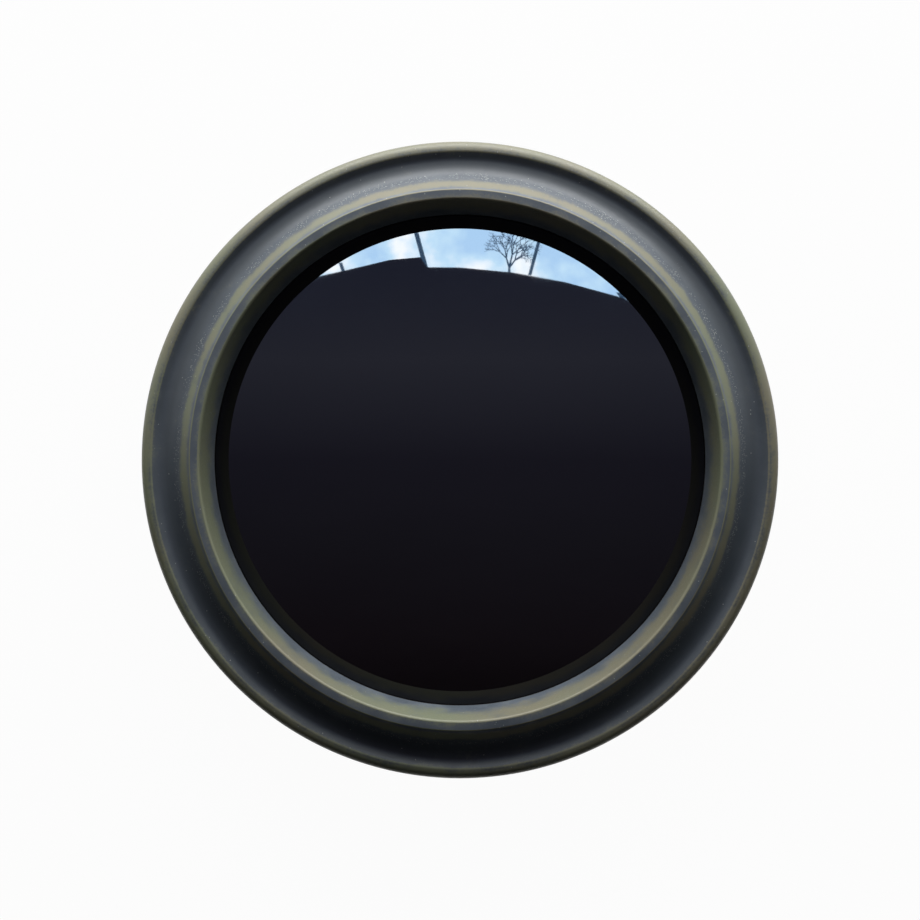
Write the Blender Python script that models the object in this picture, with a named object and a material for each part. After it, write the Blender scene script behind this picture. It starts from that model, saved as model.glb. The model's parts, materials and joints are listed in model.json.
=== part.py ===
"""Round opening deck hatch: a fixed frame clamped to the deck, and a hinged lid with a deep-set lens.

Metres, +Z up. The origin is the centre of the interior trim ring's underside, +Y points to the hinge.
Heights chain up from the trim ring and radii chain out from the lens, so one size moves its neighbours.
"""

import math

import bmesh
import bpy
from mathutils import Matrix, Vector

MM = 0.001

# Facets round the large rings and round the small turned pieces
RING_SIDES = 48
HUB_SIDES = 16
PIN_SIDES = 12
SCREW_SIDES = 8
SHARP_ANGLE = 32.0

# Sides of the centre line seen from above, and the heading of the edge opposite the hinge
SIDES = {"left": -1, "right": 1}
FRONT = 270.0

# Clearances
SEAT_GAP = 0.3 * MM
RUN_GAP = 0.15 * MM
SPIGOT_GAP = 0.4 * MM
SWING_GAP = 1.7 * MM
CUT_OVER = 2.0 * MM

# Deck and the pieces that clamp it
DECK_THICKNESS = 26.0 * MM
TRIM_THICKNESS = 4.0 * MM
TRIM_EDGE = 1.5 * MM
SPIGOT_RECESS = 1.0 * MM
DECK_SEAL_THICKNESS = 1.2 * MM
FLANGE_THICKNESS = 4.0 * MM
FLANGE_INSET = 1.0 * MM
FLANGE_EDGE = 1.2 * MM
COAMING_WALL = 3.5 * MM
COAMING_HEIGHT = 4.5 * MM
COAMING_ROUND = 1.2 * MM
COAMING_FILLET = 1.2 * MM

# Lens and the lid's inner wall
LENS_VIEW_R = 119.6 * MM
LENS_LEDGE = 4.0 * MM
LENS_EDGE_GAP = 0.4 * MM
LENS_THICKNESS = 8.0 * MM
LENS_DEPTH = 26.0 * MM
LENS_CHAMFER = 0.5 * MM
LENS_SEAL_THICKNESS = 0.9 * MM
PLUG_WALL = 5.3 * MM
PLUG_CHAMFER = 0.8 * MM
RETAINER_THICKNESS = 4.0 * MM
RETAINER_REACH = 4.6 * MM
RETAINER_EDGE = 0.8 * MM

# Lid's top: ridge, slope, hollow trough, lip and skirt
RIDGE_HEIGHT = 10.5 * MM
RIDGE_INNER_ROUND = 5.0 * MM
RIDGE_CREST = 0.39 * MM
RIDGE_OUTER_ROUND = 1.2 * MM
SLOPE_ANGLE = 42.0
TROUGH_HOLLOW_R = 7.0 * MM
TROUGH_FLAT = 0.45 * MM
LIP_HEIGHT = 2.0 * MM
LIP_RISE_R = 4.0 * MM
LIP_RISE_ANGLE = 35.0
LIP_INNER_ROUND = 2.0 * MM
LIP_OUTER_ROUND = 5.0 * MM
TROUGH_WALL = 3.2 * MM
SKIRT_WALL = 3.2 * MM
SKIRT_LIFT = 1.0 * MM
SKIRT_EDGE = 0.8 * MM
SKIRT_FILLET = 1.5 * MM

# Weather gasket and the rib outside it
GASKET_WIDTH = 5.5 * MM
GASKET_HEIGHT = 3.2 * MM
GASKET_ROUND = 1.0 * MM
GASKET_SIDE_GAP = 0.5 * MM
RIB_WALL = 2.1 * MM
RIB_DEPTH = 3.0 * MM

# Concealed hinge, on a chord just outside the coaming
HINGE_GAP = 1.5 * MM
KNUCKLE_R = 4.5 * MM
KNUCKLE_SINK = 0.5 * MM
KNUCKLE_WIDTH = 8.4 * MM
KNUCKLE_X = 24.5 * MM
LUG_WIDTH = 4.7 * MM
POCKET_GAP = 0.5 * MM
PIN_R = 2.0 * MM
PIN_HEAD_R = 3.2 * MM
PIN_HEAD_THICKNESS = 1.2 * MM
PIN_GROOVE_DEPTH = 0.4 * MM
PIN_END = 1.0 * MM
BUSH_WALL = 0.9 * MM
CLIP_THICKNESS = 0.7 * MM
CLIP_R = 3.6 * MM
CLIP_MOUTH = 35.0
FLANGE_CHORD = 0.7 * MM
SKIRT_NOTCH = 48.0 * MM

# Dogs: their pivots lie on the retainer, either side of the front
DOG_ANGLE = 50.0
DOG_PIVOT_INSET = 9.6 * MM
DOG_PAD_R = 11.0 * MM
DOG_HUB_R = 8.0 * MM
DOG_HUB_HEIGHT = 7.5 * MM
DOG_HUB_EDGE = 0.8 * MM
DOG_BUSH_WALL = 1.05 * MM
DOG_BUSH_FLANGE_R = 7.0 * MM
SPINDLE_R = 3.0 * MM
SPINDLE_THREAD_R = 2.5 * MM
SPINDLE_HEAD_R = 5.5 * MM
SPINDLE_HEAD = 3.0 * MM
WASHER_R = 6.5 * MM
WASHER_THICKNESS = 0.8 * MM
ARM_LENGTH = 42.0 * MM
ARM_ROOT = 5.0 * MM
ARM_WAIST = 3.6 * MM
ARM_TIP_R = 5.0 * MM
ARM_THICKNESS = 6.0 * MM
ARM_EDGE = 0.9 * MM
ARM_STEPS = 4
TONGUE_HALF_WIDTH = 4.0 * MM
TONGUE_THICKNESS = 4.0 * MM
TONGUE_STEP = 0.2 * MM
TONGUE_RAMP = 1.3 * MM
TONGUE_GAP = 0.4 * MM

# Keepers inside the spigot: a plate with a flat face, and a ledge over the dog's tongue
KEEPER_GAP = 0.7 * MM
KEEPER_LEDGE = 3.0 * MM
KEEPER_PLATE = 3.4 * MM
KEEPER_BITE = 3.2 * MM
KEEPER_DROP = 9.5 * MM
KEEPER_HALF_WIDTH = 20.0 * MM
KEEPER_LEDGE_HALF_WIDTH = 10.2 * MM
KEEPER_SCREW_INSET = 4.6 * MM

# Countersunk screws
SCREW_SINK = 0.2 * MM
DECK_SCREW = {
    "head_r": 4.0 * MM, "cone": 2.3 * MM, "shank_r": 2.0 * MM, "length": 24.0 * MM, "tip": 5.0 * MM
}
TRIM_SCREW = {
    "head_r": 3.6 * MM, "cone": 2.0 * MM, "shank_r": 1.8 * MM, "length": 16.0 * MM, "tip": 4.0 * MM
}
LENS_SCREW = {
    "head_r": 2.5 * MM, "cone": 1.3 * MM, "shank_r": 1.35 * MM, "length": 11.0 * MM, "tip": 0.5 * MM
}
KEEPER_SCREW = {
    "head_r": 2.3 * MM, "cone": 1.1 * MM, "shank_r": 1.25 * MM, "length": 5.2 * MM, "tip": 0.4 * MM
}
DECK_SCREWS = 8
TRIM_SCREWS = 6
LENS_SCREWS = 8

# Heights that follow
deck_top = TRIM_THICKNESS + DECK_THICKNESS
flange_bottom = deck_top + DECK_SEAL_THICKNESS + SEAT_GAP
flange_top = flange_bottom + FLANGE_THICKNESS
coaming_top = flange_top + COAMING_HEIGHT
gasket_bottom = coaming_top + SEAT_GAP
lid_underside = gasket_bottom + GASKET_HEIGHT + SEAT_GAP
trough_floor = lid_underside + TROUGH_WALL
ridge_top = trough_floor + RIDGE_HEIGHT
lens_top = ridge_top - LENS_DEPTH
lens_bottom = lens_top - LENS_THICKNESS
ledge = lens_top + LENS_SEAL_THICKNESS + SEAT_GAP
retainer_top = lens_bottom - SEAT_GAP
retainer_bottom = retainer_top - RETAINER_THICKNESS
keeper_top = retainer_bottom - KEEPER_GAP
hub_top = keeper_top - KEEPER_LEDGE - SEAT_GAP
hub_bottom = hub_top - DOG_HUB_HEIGHT
tongue_top = hub_top - TONGUE_STEP
hinge_z = flange_top + KNUCKLE_R - KNUCKLE_SINK

# Radii that follow
lens_r = LENS_VIEW_R + LENS_LEDGE
rebate_r = lens_r + LENS_EDGE_GAP
plug_r = rebate_r + PLUG_WALL
coaming_inner = plug_r + SWING_GAP
coaming_outer = coaming_inner + COAMING_WALL
gasket_inner = plug_r + GASKET_SIDE_GAP
gasket_outer = gasket_inner + GASKET_WIDTH
rib_inner = gasket_outer + GASKET_SIDE_GAP
rib_outer = rib_inner + RIB_WALL
retainer_inner = LENS_VIEW_R - RETAINER_REACH
retainer_screw_r = (rebate_r + plug_r) / 2
hinge_y = coaming_outer + HINGE_GAP + KNUCKLE_R
dog_pivot_r = rebate_r - DOG_PIVOT_INSET
keeper_outer = coaming_inner * math.cos(math.pi / RING_SIDES) - SEAT_GAP
keeper_face = keeper_outer - KEEPER_PLATE
tongue_reach = keeper_face - TONGUE_GAP - dog_pivot_r

# Headings of the dogs, and where the hinge's lugs start
dog_angles = {side: FRONT + sign * DOG_ANGLE for side, sign in SIDES.items()}
lug_inner_x = KNUCKLE_X - KNUCKLE_WIDTH / 2 - SEAT_GAP - LUG_WIDTH
lug_outer_x = KNUCKLE_X + KNUCKLE_WIDTH / 2 + SEAT_GAP

FACE_DOWN = Matrix.Rotation(math.pi, 4, "X")


def clear_scene():
    for obj in list(bpy.data.objects):
        bpy.data.objects.remove(obj, do_unlink=True)


def linear(channel):
    return channel / 12.92 if channel <= 0.04045 else ((channel + 0.055) / 1.055) ** 2.4


def make_material(name, red, green, blue, roughness, metallic):
    """A Principled material; the colour is given as 0-255 sRGB."""
    material = bpy.data.materials.new(name)
    material.use_nodes = True
    shader = material.node_tree.nodes["Principled BSDF"]
    colour = [linear(channel / 255) for channel in (red, green, blue)]
    shader.inputs["Base Color"].default_value = (*colour, 1)
    shader.inputs["Roughness"].default_value = roughness
    shader.inputs["Metallic"].default_value = metallic
    return material


def arc(centre_r, centre_z, radius, start, end, steps):
    """Points (r, z) along an arc, in degrees, both ends included."""
    points = []
    for step in range(steps + 1):
        angle = math.radians(start + (end - start) * step / steps)
        points.append((centre_r + radius * math.cos(angle), centre_z + radius * math.sin(angle)))
    return points


def to_object(name, bm, material):
    """Makes the named object of a bmesh, smooth between its sharp edges."""
    bmesh.ops.recalc_face_normals(bm, faces=bm.faces)
    mesh = bpy.data.meshes.new(name)
    bm.to_mesh(mesh)
    bm.free()
    mesh.shade_smooth()
    mesh.set_sharp_from_angle(angle=math.radians(SHARP_ANGLE))
    obj = bpy.data.objects.new(name, mesh)
    bpy.context.scene.collection.objects.link(obj)
    if material:
        mesh.materials.append(material)
    else:
        obj.hide_render = True
        obj.display_type = "WIRE"
    return obj


def add_turned(bm, profile, sides):
    """Spins an (r, z) outline about Z: a ring, or a solid where the outline's ends lie on the axis."""
    verts = [bm.verts.new((r, 0, z)) for r, z in profile]
    edges = [bm.edges.new(pair) for pair in zip(verts, verts[1:])]
    if profile[0][0] > 0:
        edges.append(bm.edges.new((verts[-1], verts[0])))
    bmesh.ops.spin(
        bm, geom=verts + edges, axis=(0, 0, 1), angle=math.tau, steps=sides, use_merge=True
    )
    bmesh.ops.remove_doubles(bm, verts=bm.verts, dist=1e-7)


def turned(name, profile, material, sides=RING_SIDES):
    bm = bmesh.new()
    add_turned(bm, profile, sides)
    return to_object(name, bm, material)


def prism(bm, outline, bottom, top):
    """Extrudes a flat outline of (x, y) points from bottom to top, and returns its vertices."""
    verts = [bm.verts.new((x, y, bottom)) for x, y in outline]
    face = bm.faces.new(verts)
    raised = bmesh.ops.extrude_face_region(bm, geom=[face])["geom"]
    raised = [item for item in raised if isinstance(item, bmesh.types.BMVert)]
    bmesh.ops.translate(bm, verts=raised, vec=(0, 0, top - bottom))
    return verts + raised


def add_box(bm, low, high):
    outline = [(low[0], low[1]), (high[0], low[1]), (high[0], high[1]), (low[0], high[1])]
    return prism(bm, outline, low[2], high[2])


def add_cylinder(bm, radius, depth, sides, place):
    """A closed cylinder whose middle and heading are those of the placement matrix."""
    bmesh.ops.create_cone(
        bm, cap_ends=True, segments=sides, radius1=radius, radius2=radius, depth=depth, matrix=place
    )


def add_hinge_cylinder(bm, radius, sides, ends):
    """A closed cylinder on the hinge's axis, between two places along X."""
    start, end = sorted(ends)
    middle = Matrix.Translation(((start + end) / 2, hinge_y, hinge_z))
    add_cylinder(bm, radius, end - start, sides, middle @ Matrix.Rotation(math.pi / 2, 4, "Y"))


def add_u_block(bm, ends, reach_z):
    """A hinge barrel along X at the hinge's axis, with straight flanks that run up or down to reach_z."""
    start_x, end_x = sorted(ends)
    way = 180 if reach_z > hinge_z else 0
    outline = arc(hinge_y, hinge_z, KNUCKLE_R, way, way + 180, HUB_SIDES // 2)
    outline = [(hinge_y + math.copysign(KNUCKLE_R, outline[0][0] - hinge_y), reach_z)] + outline
    outline += [(2 * hinge_y - outline[0][0], reach_z)]
    block = prism(bm, outline, start_x, end_x)
    turn = Matrix(((0, 0, 1, 0), (1, 0, 0, 0), (0, 1, 0, 0), (0, 0, 0, 1)))
    bmesh.ops.transform(bm, matrix=turn, verts=block)


def modify(obj, operation, other):
    """Adds a Boolean with a helper, which is modelled in the piece's own space and moves with it."""
    other.parent = obj
    step = obj.modifiers.new(other.name, "BOOLEAN")
    step.operation = operation
    step.object = other
    step.solver = "EXACT"


def cut(obj, cutter):
    modify(obj, "DIFFERENCE", cutter)


def join(obj, addition):
    modify(obj, "UNION", addition)


def helper_at(name, bm, place=None):
    """A hidden cutter or addition."""
    if place is not None:
        bmesh.ops.transform(bm, matrix=place, verts=bm.verts)
    return to_object(name, bm, None)


def on_circle(radius, degrees, height=0.0):
    angle = math.radians(degrees)
    return Vector((radius * math.cos(angle), radius * math.sin(angle), height))


def even_angles(count, first):
    return [first + 360 * index / count for index in range(count)]


def put(obj, parent, place, turn=(0, 0, 0)):
    """Places an object at a world position and hangs it on its body's empty."""
    obj.parent = parent
    obj.location = Vector(place) - parent_place(parent)
    obj.rotation_euler = turn
    return obj


def parent_place(parent):
    place = Vector((0, 0, 0))
    while parent is not None:
        place += parent.location
        parent = parent.parent
    return place


def make_empty(name, place, parent=None):
    empty = bpy.data.objects.new(name, None)
    bpy.context.scene.collection.objects.link(empty)
    empty.empty_display_size = 0.02
    empty.parent = parent
    empty.location = Vector(place) - parent_place(parent)
    return empty


def screw_profile(screw):
    """Countersunk screw with the plate's face at height 0, pointing down."""
    head = -SCREW_SINK
    return [
        (0, head),
        (screw["head_r"], head),
        (screw["shank_r"], head - screw["cone"]),
        (screw["shank_r"], head - screw["length"] + screw["tip"]),
        (0, head - screw["length"]),
    ]


def hole_profile(screw, depth):
    """Countersunk hole for a screw, as a cutter that starts above the face and ends at depth."""
    slant = (screw["head_r"] - screw["shank_r"]) / screw["cone"]
    head_r = screw["head_r"] + SEAT_GAP
    shank_r = screw["shank_r"] + SEAT_GAP
    return [
        (0, CUT_OVER),
        (head_r + slant * (CUT_OVER + SCREW_SINK), CUT_OVER),
        (shank_r, -SCREW_SINK - screw["cone"]),
        (shank_r, -depth),
        (0, -depth),
    ]


def add_holes(bm, screw, depth, places):
    """Adds one countersunk cutter at each placement matrix."""
    for place in places:
        one = bmesh.new()
        add_turned(one, hole_profile(screw, depth), SCREW_SIDES)
        bmesh.ops.transform(one, matrix=place, verts=one.verts)
        scrap = bpy.data.meshes.new("cutter")
        one.to_mesh(scrap)
        one.free()
        bm.from_mesh(scrap)
        bpy.data.meshes.remove(scrap)


def screws(names, screw, parent, places, material):
    """One screw at each placement matrix; the copies share a mesh."""
    first = turned(names[0], screw_profile(screw), material, SCREW_SIDES)
    for name, place in zip(names, places):
        obj = first
        if name != names[0]:
            obj = bpy.data.objects.new(name, first.data)
            bpy.context.scene.collection.objects.link(obj)
        put(obj, parent, place.to_translation(), place.to_euler())


def lid_top_profile():
    """The lid's turned face from the inner wall, over ridge, slope and trough, to the lip's outer edge."""
    crest_start = LENS_VIEW_R + RIDGE_INNER_ROUND
    crest_end = crest_start + RIDGE_CREST
    points = arc(crest_start, ridge_top - RIDGE_INNER_ROUND, RIDGE_INNER_ROUND, 180, 90, 4)
    points += arc(
        crest_end, ridge_top - RIDGE_OUTER_ROUND, RIDGE_OUTER_ROUND, 90, 90 - SLOPE_ANGLE, 3
    )
    shoulder_r, shoulder_z = points[-1]
    slope = math.radians(SLOPE_ANGLE)
    hollow_z = trough_floor + TROUGH_HOLLOW_R * (1 - math.cos(slope))
    hollow_start = shoulder_r + (shoulder_z - hollow_z) / math.tan(slope)
    floor_start = hollow_start + TROUGH_HOLLOW_R * math.sin(slope)
    points += arc(
        floor_start, trough_floor + TROUGH_HOLLOW_R, TROUGH_HOLLOW_R, 270 - SLOPE_ANGLE, 270, 4
    )
    floor_end = floor_start + TROUGH_FLAT
    points += arc(
        floor_end, trough_floor + LIP_RISE_R, LIP_RISE_R, 270, 270 + LIP_RISE_ANGLE, 2
    )
    rise_r, rise_z = points[-1]
    rise = math.radians(LIP_RISE_ANGLE)
    lip_top = trough_floor + LIP_HEIGHT
    round_start_z = lip_top - LIP_INNER_ROUND * (1 - math.cos(rise))
    lip_crest = rise_r + (round_start_z - rise_z) / math.tan(rise) + LIP_INNER_ROUND * math.sin(rise)
    points += arc(
        lip_crest, lip_top - LIP_INNER_ROUND, LIP_INNER_ROUND, 90 + LIP_RISE_ANGLE, 90, 2
    )
    points += arc(lip_crest, lip_top - LIP_OUTER_ROUND, LIP_OUTER_ROUND, 90, 0, 4)[1:]
    return points


lid_face = lid_top_profile()
lid_r = lid_face[-1][0]
skirt_inner = lid_r - SKIRT_WALL
skirt_bottom = flange_top + SKIRT_LIFT
flange_r = lid_r - FLANGE_INSET
deck_screw_r = (coaming_outer + skirt_inner) / 2
trim_screw_r = (coaming_outer + SPIGOT_GAP + flange_r) / 2
deck_screw_angles = even_angles(DECK_SCREWS, 180 / DECK_SCREWS)
trim_screw_angles = even_angles(TRIM_SCREWS, 0)
lens_screw_angles = even_angles(LENS_SCREWS, 180 / LENS_SCREWS)


def knuckle_ends(sign, reach):
    """Both places along X that lie this far from the middle of one side's knuckle."""
    return sign * (KNUCKLE_X - reach), sign * (KNUCKLE_X + reach)


def make_lid_ring(lid, material):
    rib_bottom = lid_underside - RIB_DEPTH
    profile = list(lid_face)
    profile += arc(lid_r - SKIRT_EDGE, skirt_bottom + SKIRT_EDGE, SKIRT_EDGE, 0, -90, 1)
    profile += [(skirt_inner, skirt_bottom)]
    profile += arc(skirt_inner - SKIRT_FILLET, lid_underside - SKIRT_FILLET, SKIRT_FILLET, 0, 90, 1)
    profile += [
        (rib_outer, lid_underside),
        (rib_outer, rib_bottom),
        (rib_inner, rib_bottom),
        (rib_inner, lid_underside),
        (plug_r, lid_underside),
        (plug_r, lens_bottom + PLUG_CHAMFER),
        (plug_r - PLUG_CHAMFER, lens_bottom),
        (rebate_r, lens_bottom),
        (rebate_r, ledge),
        (LENS_VIEW_R, ledge),
    ]
    ring = turned("lid_ring", profile, material)

    notch = bmesh.new()
    add_box(
        notch,
        (-SKIRT_NOTCH, rib_outer + SEAT_GAP, flange_bottom),
        (SKIRT_NOTCH, lid_r + CUT_OVER, lid_underside + SEAT_GAP),
    )
    cut(ring, helper_at("lid_skirt_notch", notch))

    pocket = bmesh.new()
    pocket_x = KNUCKLE_X + KNUCKLE_WIDTH / 2 + LUG_WIDTH + CUT_OVER
    add_hinge_cylinder(pocket, KNUCKLE_R + POCKET_GAP, HUB_SIDES, (-pocket_x, pocket_x))
    cut(ring, helper_at("lid_hinge_pocket", pocket))

    for side, sign in SIDES.items():
        knuckle = bmesh.new()
        add_u_block(
            knuckle, knuckle_ends(sign, KNUCKLE_WIDTH / 2), lid_underside + TROUGH_WALL / 2
        )
        join(ring, helper_at("lid_knuckle_" + side, knuckle))

    bores = bmesh.new()
    bore_r = PIN_R + RUN_GAP + BUSH_WALL + RUN_GAP
    for sign in SIDES.values():
        ends = knuckle_ends(sign, KNUCKLE_WIDTH / 2 + CUT_OVER)
        add_hinge_cylinder(bores, bore_r, PIN_SIDES, ends)
    cut(ring, helper_at("lid_bush_bores", bores))

    holes = bmesh.new()
    depth = LENS_SCREW["length"] - RETAINER_THICKNESS + SEAT_GAP
    for angle in lens_screw_angles:
        place = Matrix.Translation(on_circle(retainer_screw_r, angle, lens_bottom))
        add_cylinder(holes, LENS_SCREW["shank_r"] + RUN_GAP, 2 * depth, SCREW_SIDES, place)
    cut(ring, helper_at("lid_screw_holes", holes))
    put(ring, lid, (0, 0, 0))


def make_lens(lid, lens_material, seal_material):
    lens = turned(
        "lens",
        [
            (0, lens_top),
            (lens_r - LENS_CHAMFER, lens_top),
            (lens_r, lens_top - LENS_CHAMFER),
            (lens_r, lens_bottom + LENS_CHAMFER),
            (lens_r - LENS_CHAMFER, lens_bottom),
            (0, lens_bottom),
        ],
        lens_material,
    )
    put(lens, lid, (0, 0, 0))
    low = lens_top + SEAT_GAP / 2
    high = ledge - SEAT_GAP / 2
    seal = turned(
        "lens_seal",
        [(LENS_VIEW_R, high), (lens_r, high), (lens_r, low), (LENS_VIEW_R, low)],
        seal_material,
    )
    put(seal, lid, (0, 0, 0))


def make_retainer(lid, material, screw_material):
    ring = turned(
        "lens_retainer",
        [
            (retainer_inner, retainer_top),
            (plug_r, retainer_top),
            (plug_r, retainer_bottom + RETAINER_EDGE),
            (plug_r - RETAINER_EDGE, retainer_bottom),
            (retainer_inner + RETAINER_EDGE, retainer_bottom),
            (retainer_inner, retainer_bottom + RETAINER_EDGE),
        ],
        material,
    )
    for side in SIDES:
        pad = bmesh.new()
        centre = on_circle(dog_pivot_r, dog_angles[side])
        add_turned(
            pad,
            [
                (0, retainer_top),
                (DOG_PAD_R, retainer_top),
                (DOG_PAD_R, retainer_bottom + RETAINER_EDGE),
                (DOG_PAD_R - RETAINER_EDGE, retainer_bottom),
                (0, retainer_bottom),
            ],
            HUB_SIDES,
        )
        join(ring, helper_at("retainer_pad_" + side, pad, Matrix.Translation(centre)))

    holes = bmesh.new()
    places = lens_screw_places()
    add_holes(holes, LENS_SCREW, RETAINER_THICKNESS + CUT_OVER, places)
    middle = (retainer_top + retainer_bottom) / 2
    for angle in dog_angles.values():
        add_cylinder(
            holes, SPINDLE_THREAD_R + RUN_GAP, RETAINER_THICKNESS + 2 * CUT_OVER, PIN_SIDES,
            Matrix.Translation(on_circle(dog_pivot_r, angle, middle)),
        )
    cut(ring, helper_at("retainer_holes", holes))
    put(ring, lid, (0, 0, 0))
    names = [f"retainer_screw_{index + 1}" for index in range(LENS_SCREWS)]
    screws(names, LENS_SCREW, lid, places, screw_material)


def lens_screw_places():
    return [
        Matrix.Translation(on_circle(retainer_screw_r, angle, retainer_bottom)) @ FACE_DOWN
        for angle in lens_screw_angles
    ]


def make_lid_gasket(lid, material):
    top = gasket_bottom + GASKET_HEIGHT
    profile = [(gasket_inner, top), (gasket_outer, top)]
    profile += arc(
        gasket_outer - GASKET_ROUND, gasket_bottom + GASKET_ROUND, GASKET_ROUND, 0, -90, 1
    )
    profile += arc(
        gasket_inner + GASKET_ROUND, gasket_bottom + GASKET_ROUND, GASKET_ROUND, 270, 180, 1
    )
    put(turned("lid_gasket", profile, material), lid, (0, 0, 0))


def make_base_frame(frame, material):
    spigot_bottom = SPIGOT_RECESS
    fillet_r = coaming_outer + COAMING_FILLET
    round_z = coaming_top - COAMING_ROUND
    profile = arc(coaming_inner + COAMING_ROUND, round_z, COAMING_ROUND, 180, 90, 2)
    profile += arc(coaming_outer - COAMING_ROUND, round_z, COAMING_ROUND, 90, 0, 2)
    profile += arc(fillet_r, flange_top + COAMING_FILLET, COAMING_FILLET, 180, 270, 1)
    profile += arc(flange_r - FLANGE_EDGE, flange_top - FLANGE_EDGE, FLANGE_EDGE, 90, 0, 1)
    profile += [
        (flange_r, flange_bottom),
        (coaming_outer, flange_bottom),
        (coaming_outer, spigot_bottom),
        (coaming_inner, spigot_bottom),
    ]
    base = turned("base_frame", profile, material)

    for side, sign in SIDES.items():
        for end, start_x in (("inner", lug_inner_x), ("outer", lug_outer_x)):
            lug = bmesh.new()
            ends = (sign * start_x, sign * (start_x + LUG_WIDTH))
            add_u_block(lug, ends, flange_bottom + FLANGE_THICKNESS / 2)
            join(base, helper_at(f"base_lug_{side}_{end}", lug))

    chord = bmesh.new()
    add_box(
        chord,
        (-SKIRT_NOTCH, hinge_y + KNUCKLE_R - FLANGE_CHORD, flange_bottom - CUT_OVER),
        (SKIRT_NOTCH, lid_r + CUT_OVER, flange_top + SEAT_GAP),
    )
    cut(base, helper_at("base_flange_chord", chord))

    pockets = bmesh.new()
    for sign in SIDES.values():
        ends = knuckle_ends(sign, KNUCKLE_WIDTH / 2 + SEAT_GAP / 2)
        add_hinge_cylinder(pockets, KNUCKLE_R + POCKET_GAP, HUB_SIDES, ends)
    cut(base, helper_at("base_knuckle_pockets", pockets))

    bores = bmesh.new()
    for sign in SIDES.values():
        ends = (sign * (lug_inner_x - CUT_OVER), sign * (lug_outer_x + LUG_WIDTH + CUT_OVER))
        add_hinge_cylinder(bores, PIN_R + RUN_GAP, PIN_SIDES, ends)
    cut(base, helper_at("base_pin_bores", bores))

    holes = bmesh.new()
    add_holes(holes, DECK_SCREW, FLANGE_THICKNESS + CUT_OVER, deck_screw_places())
    hole_reach = KEEPER_PLATE + COAMING_WALL + CUT_OVER
    for side in SIDES:
        for place in keeper_screw_places(side):
            add_cylinder(
                holes, KEEPER_SCREW["shank_r"] + RUN_GAP, 2 * hole_reach, SCREW_SIDES, place
            )
    cut(base, helper_at("base_screw_holes", holes))
    put(base, frame, (0, 0, 0))


def deck_screw_places():
    return [
        Matrix.Translation(on_circle(deck_screw_r, angle, flange_top)) for angle in deck_screw_angles
    ]


def make_deck_seal(frame, material, screw_material):
    top = flange_bottom - SEAT_GAP
    inner = coaming_outer + SPIGOT_GAP
    seal = turned(
        "deck_seal",
        [(inner, top), (flange_r, top), (flange_r, deck_top), (inner, deck_top)],
        material,
    )
    chord = bmesh.new()
    add_box(
        chord,
        (-SKIRT_NOTCH, hinge_y + KNUCKLE_R - FLANGE_CHORD, deck_top - CUT_OVER),
        (SKIRT_NOTCH, lid_r + CUT_OVER, flange_bottom),
    )
    cut(seal, helper_at("seal_chord", chord))
    holes = bmesh.new()
    hole_r = DECK_SCREW["shank_r"] + SEAT_GAP
    for angle in deck_screw_angles:
        place = Matrix.Translation(on_circle(deck_screw_r, angle, (top + deck_top) / 2))
        add_cylinder(holes, hole_r, DECK_SEAL_THICKNESS + 2 * CUT_OVER, SCREW_SIDES, place)
    cut(seal, helper_at("seal_holes", holes))
    put(seal, frame, (0, 0, 0))
    names = [f"deck_screw_{index + 1}" for index in range(DECK_SCREWS)]
    screws(names, DECK_SCREW, frame, deck_screw_places(), screw_material)


def make_trim_ring(frame, material, screw_material):
    inner = coaming_outer + SPIGOT_GAP
    profile = [(inner, TRIM_THICKNESS), (flange_r, TRIM_THICKNESS)]
    profile += arc(flange_r - TRIM_EDGE, TRIM_EDGE, TRIM_EDGE, 0, -90, 2)
    profile += [(inner, 0)]
    ring = turned("trim_ring", profile, material)
    places = [
        Matrix.Translation(on_circle(trim_screw_r, angle)) @ FACE_DOWN for angle in trim_screw_angles
    ]
    holes = bmesh.new()
    add_holes(holes, TRIM_SCREW, TRIM_THICKNESS + CUT_OVER, places)
    cut(ring, helper_at("trim_holes", holes))
    put(ring, frame, (0, 0, 0))
    names = [f"trim_screw_{index + 1}" for index in range(TRIM_SCREWS)]
    screws(names, TRIM_SCREW, frame, places, screw_material)


def keeper_screw_places(side):
    """The keeper's screws go straight through its flat face into the spigot's wall."""
    height = keeper_top - (KEEPER_LEDGE + KEEPER_DROP) / 2
    spread = KEEPER_HALF_WIDTH - KEEPER_SCREW_INSET
    turn = Matrix.Rotation(math.radians(dog_angles[side]), 4, "Z")
    aim = Matrix.Rotation(-math.pi / 2, 4, "Y")
    return [
        turn @ Matrix.Translation((keeper_face, sign * spread, height)) @ aim
        for sign in (-1, 1)
    ]


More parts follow.
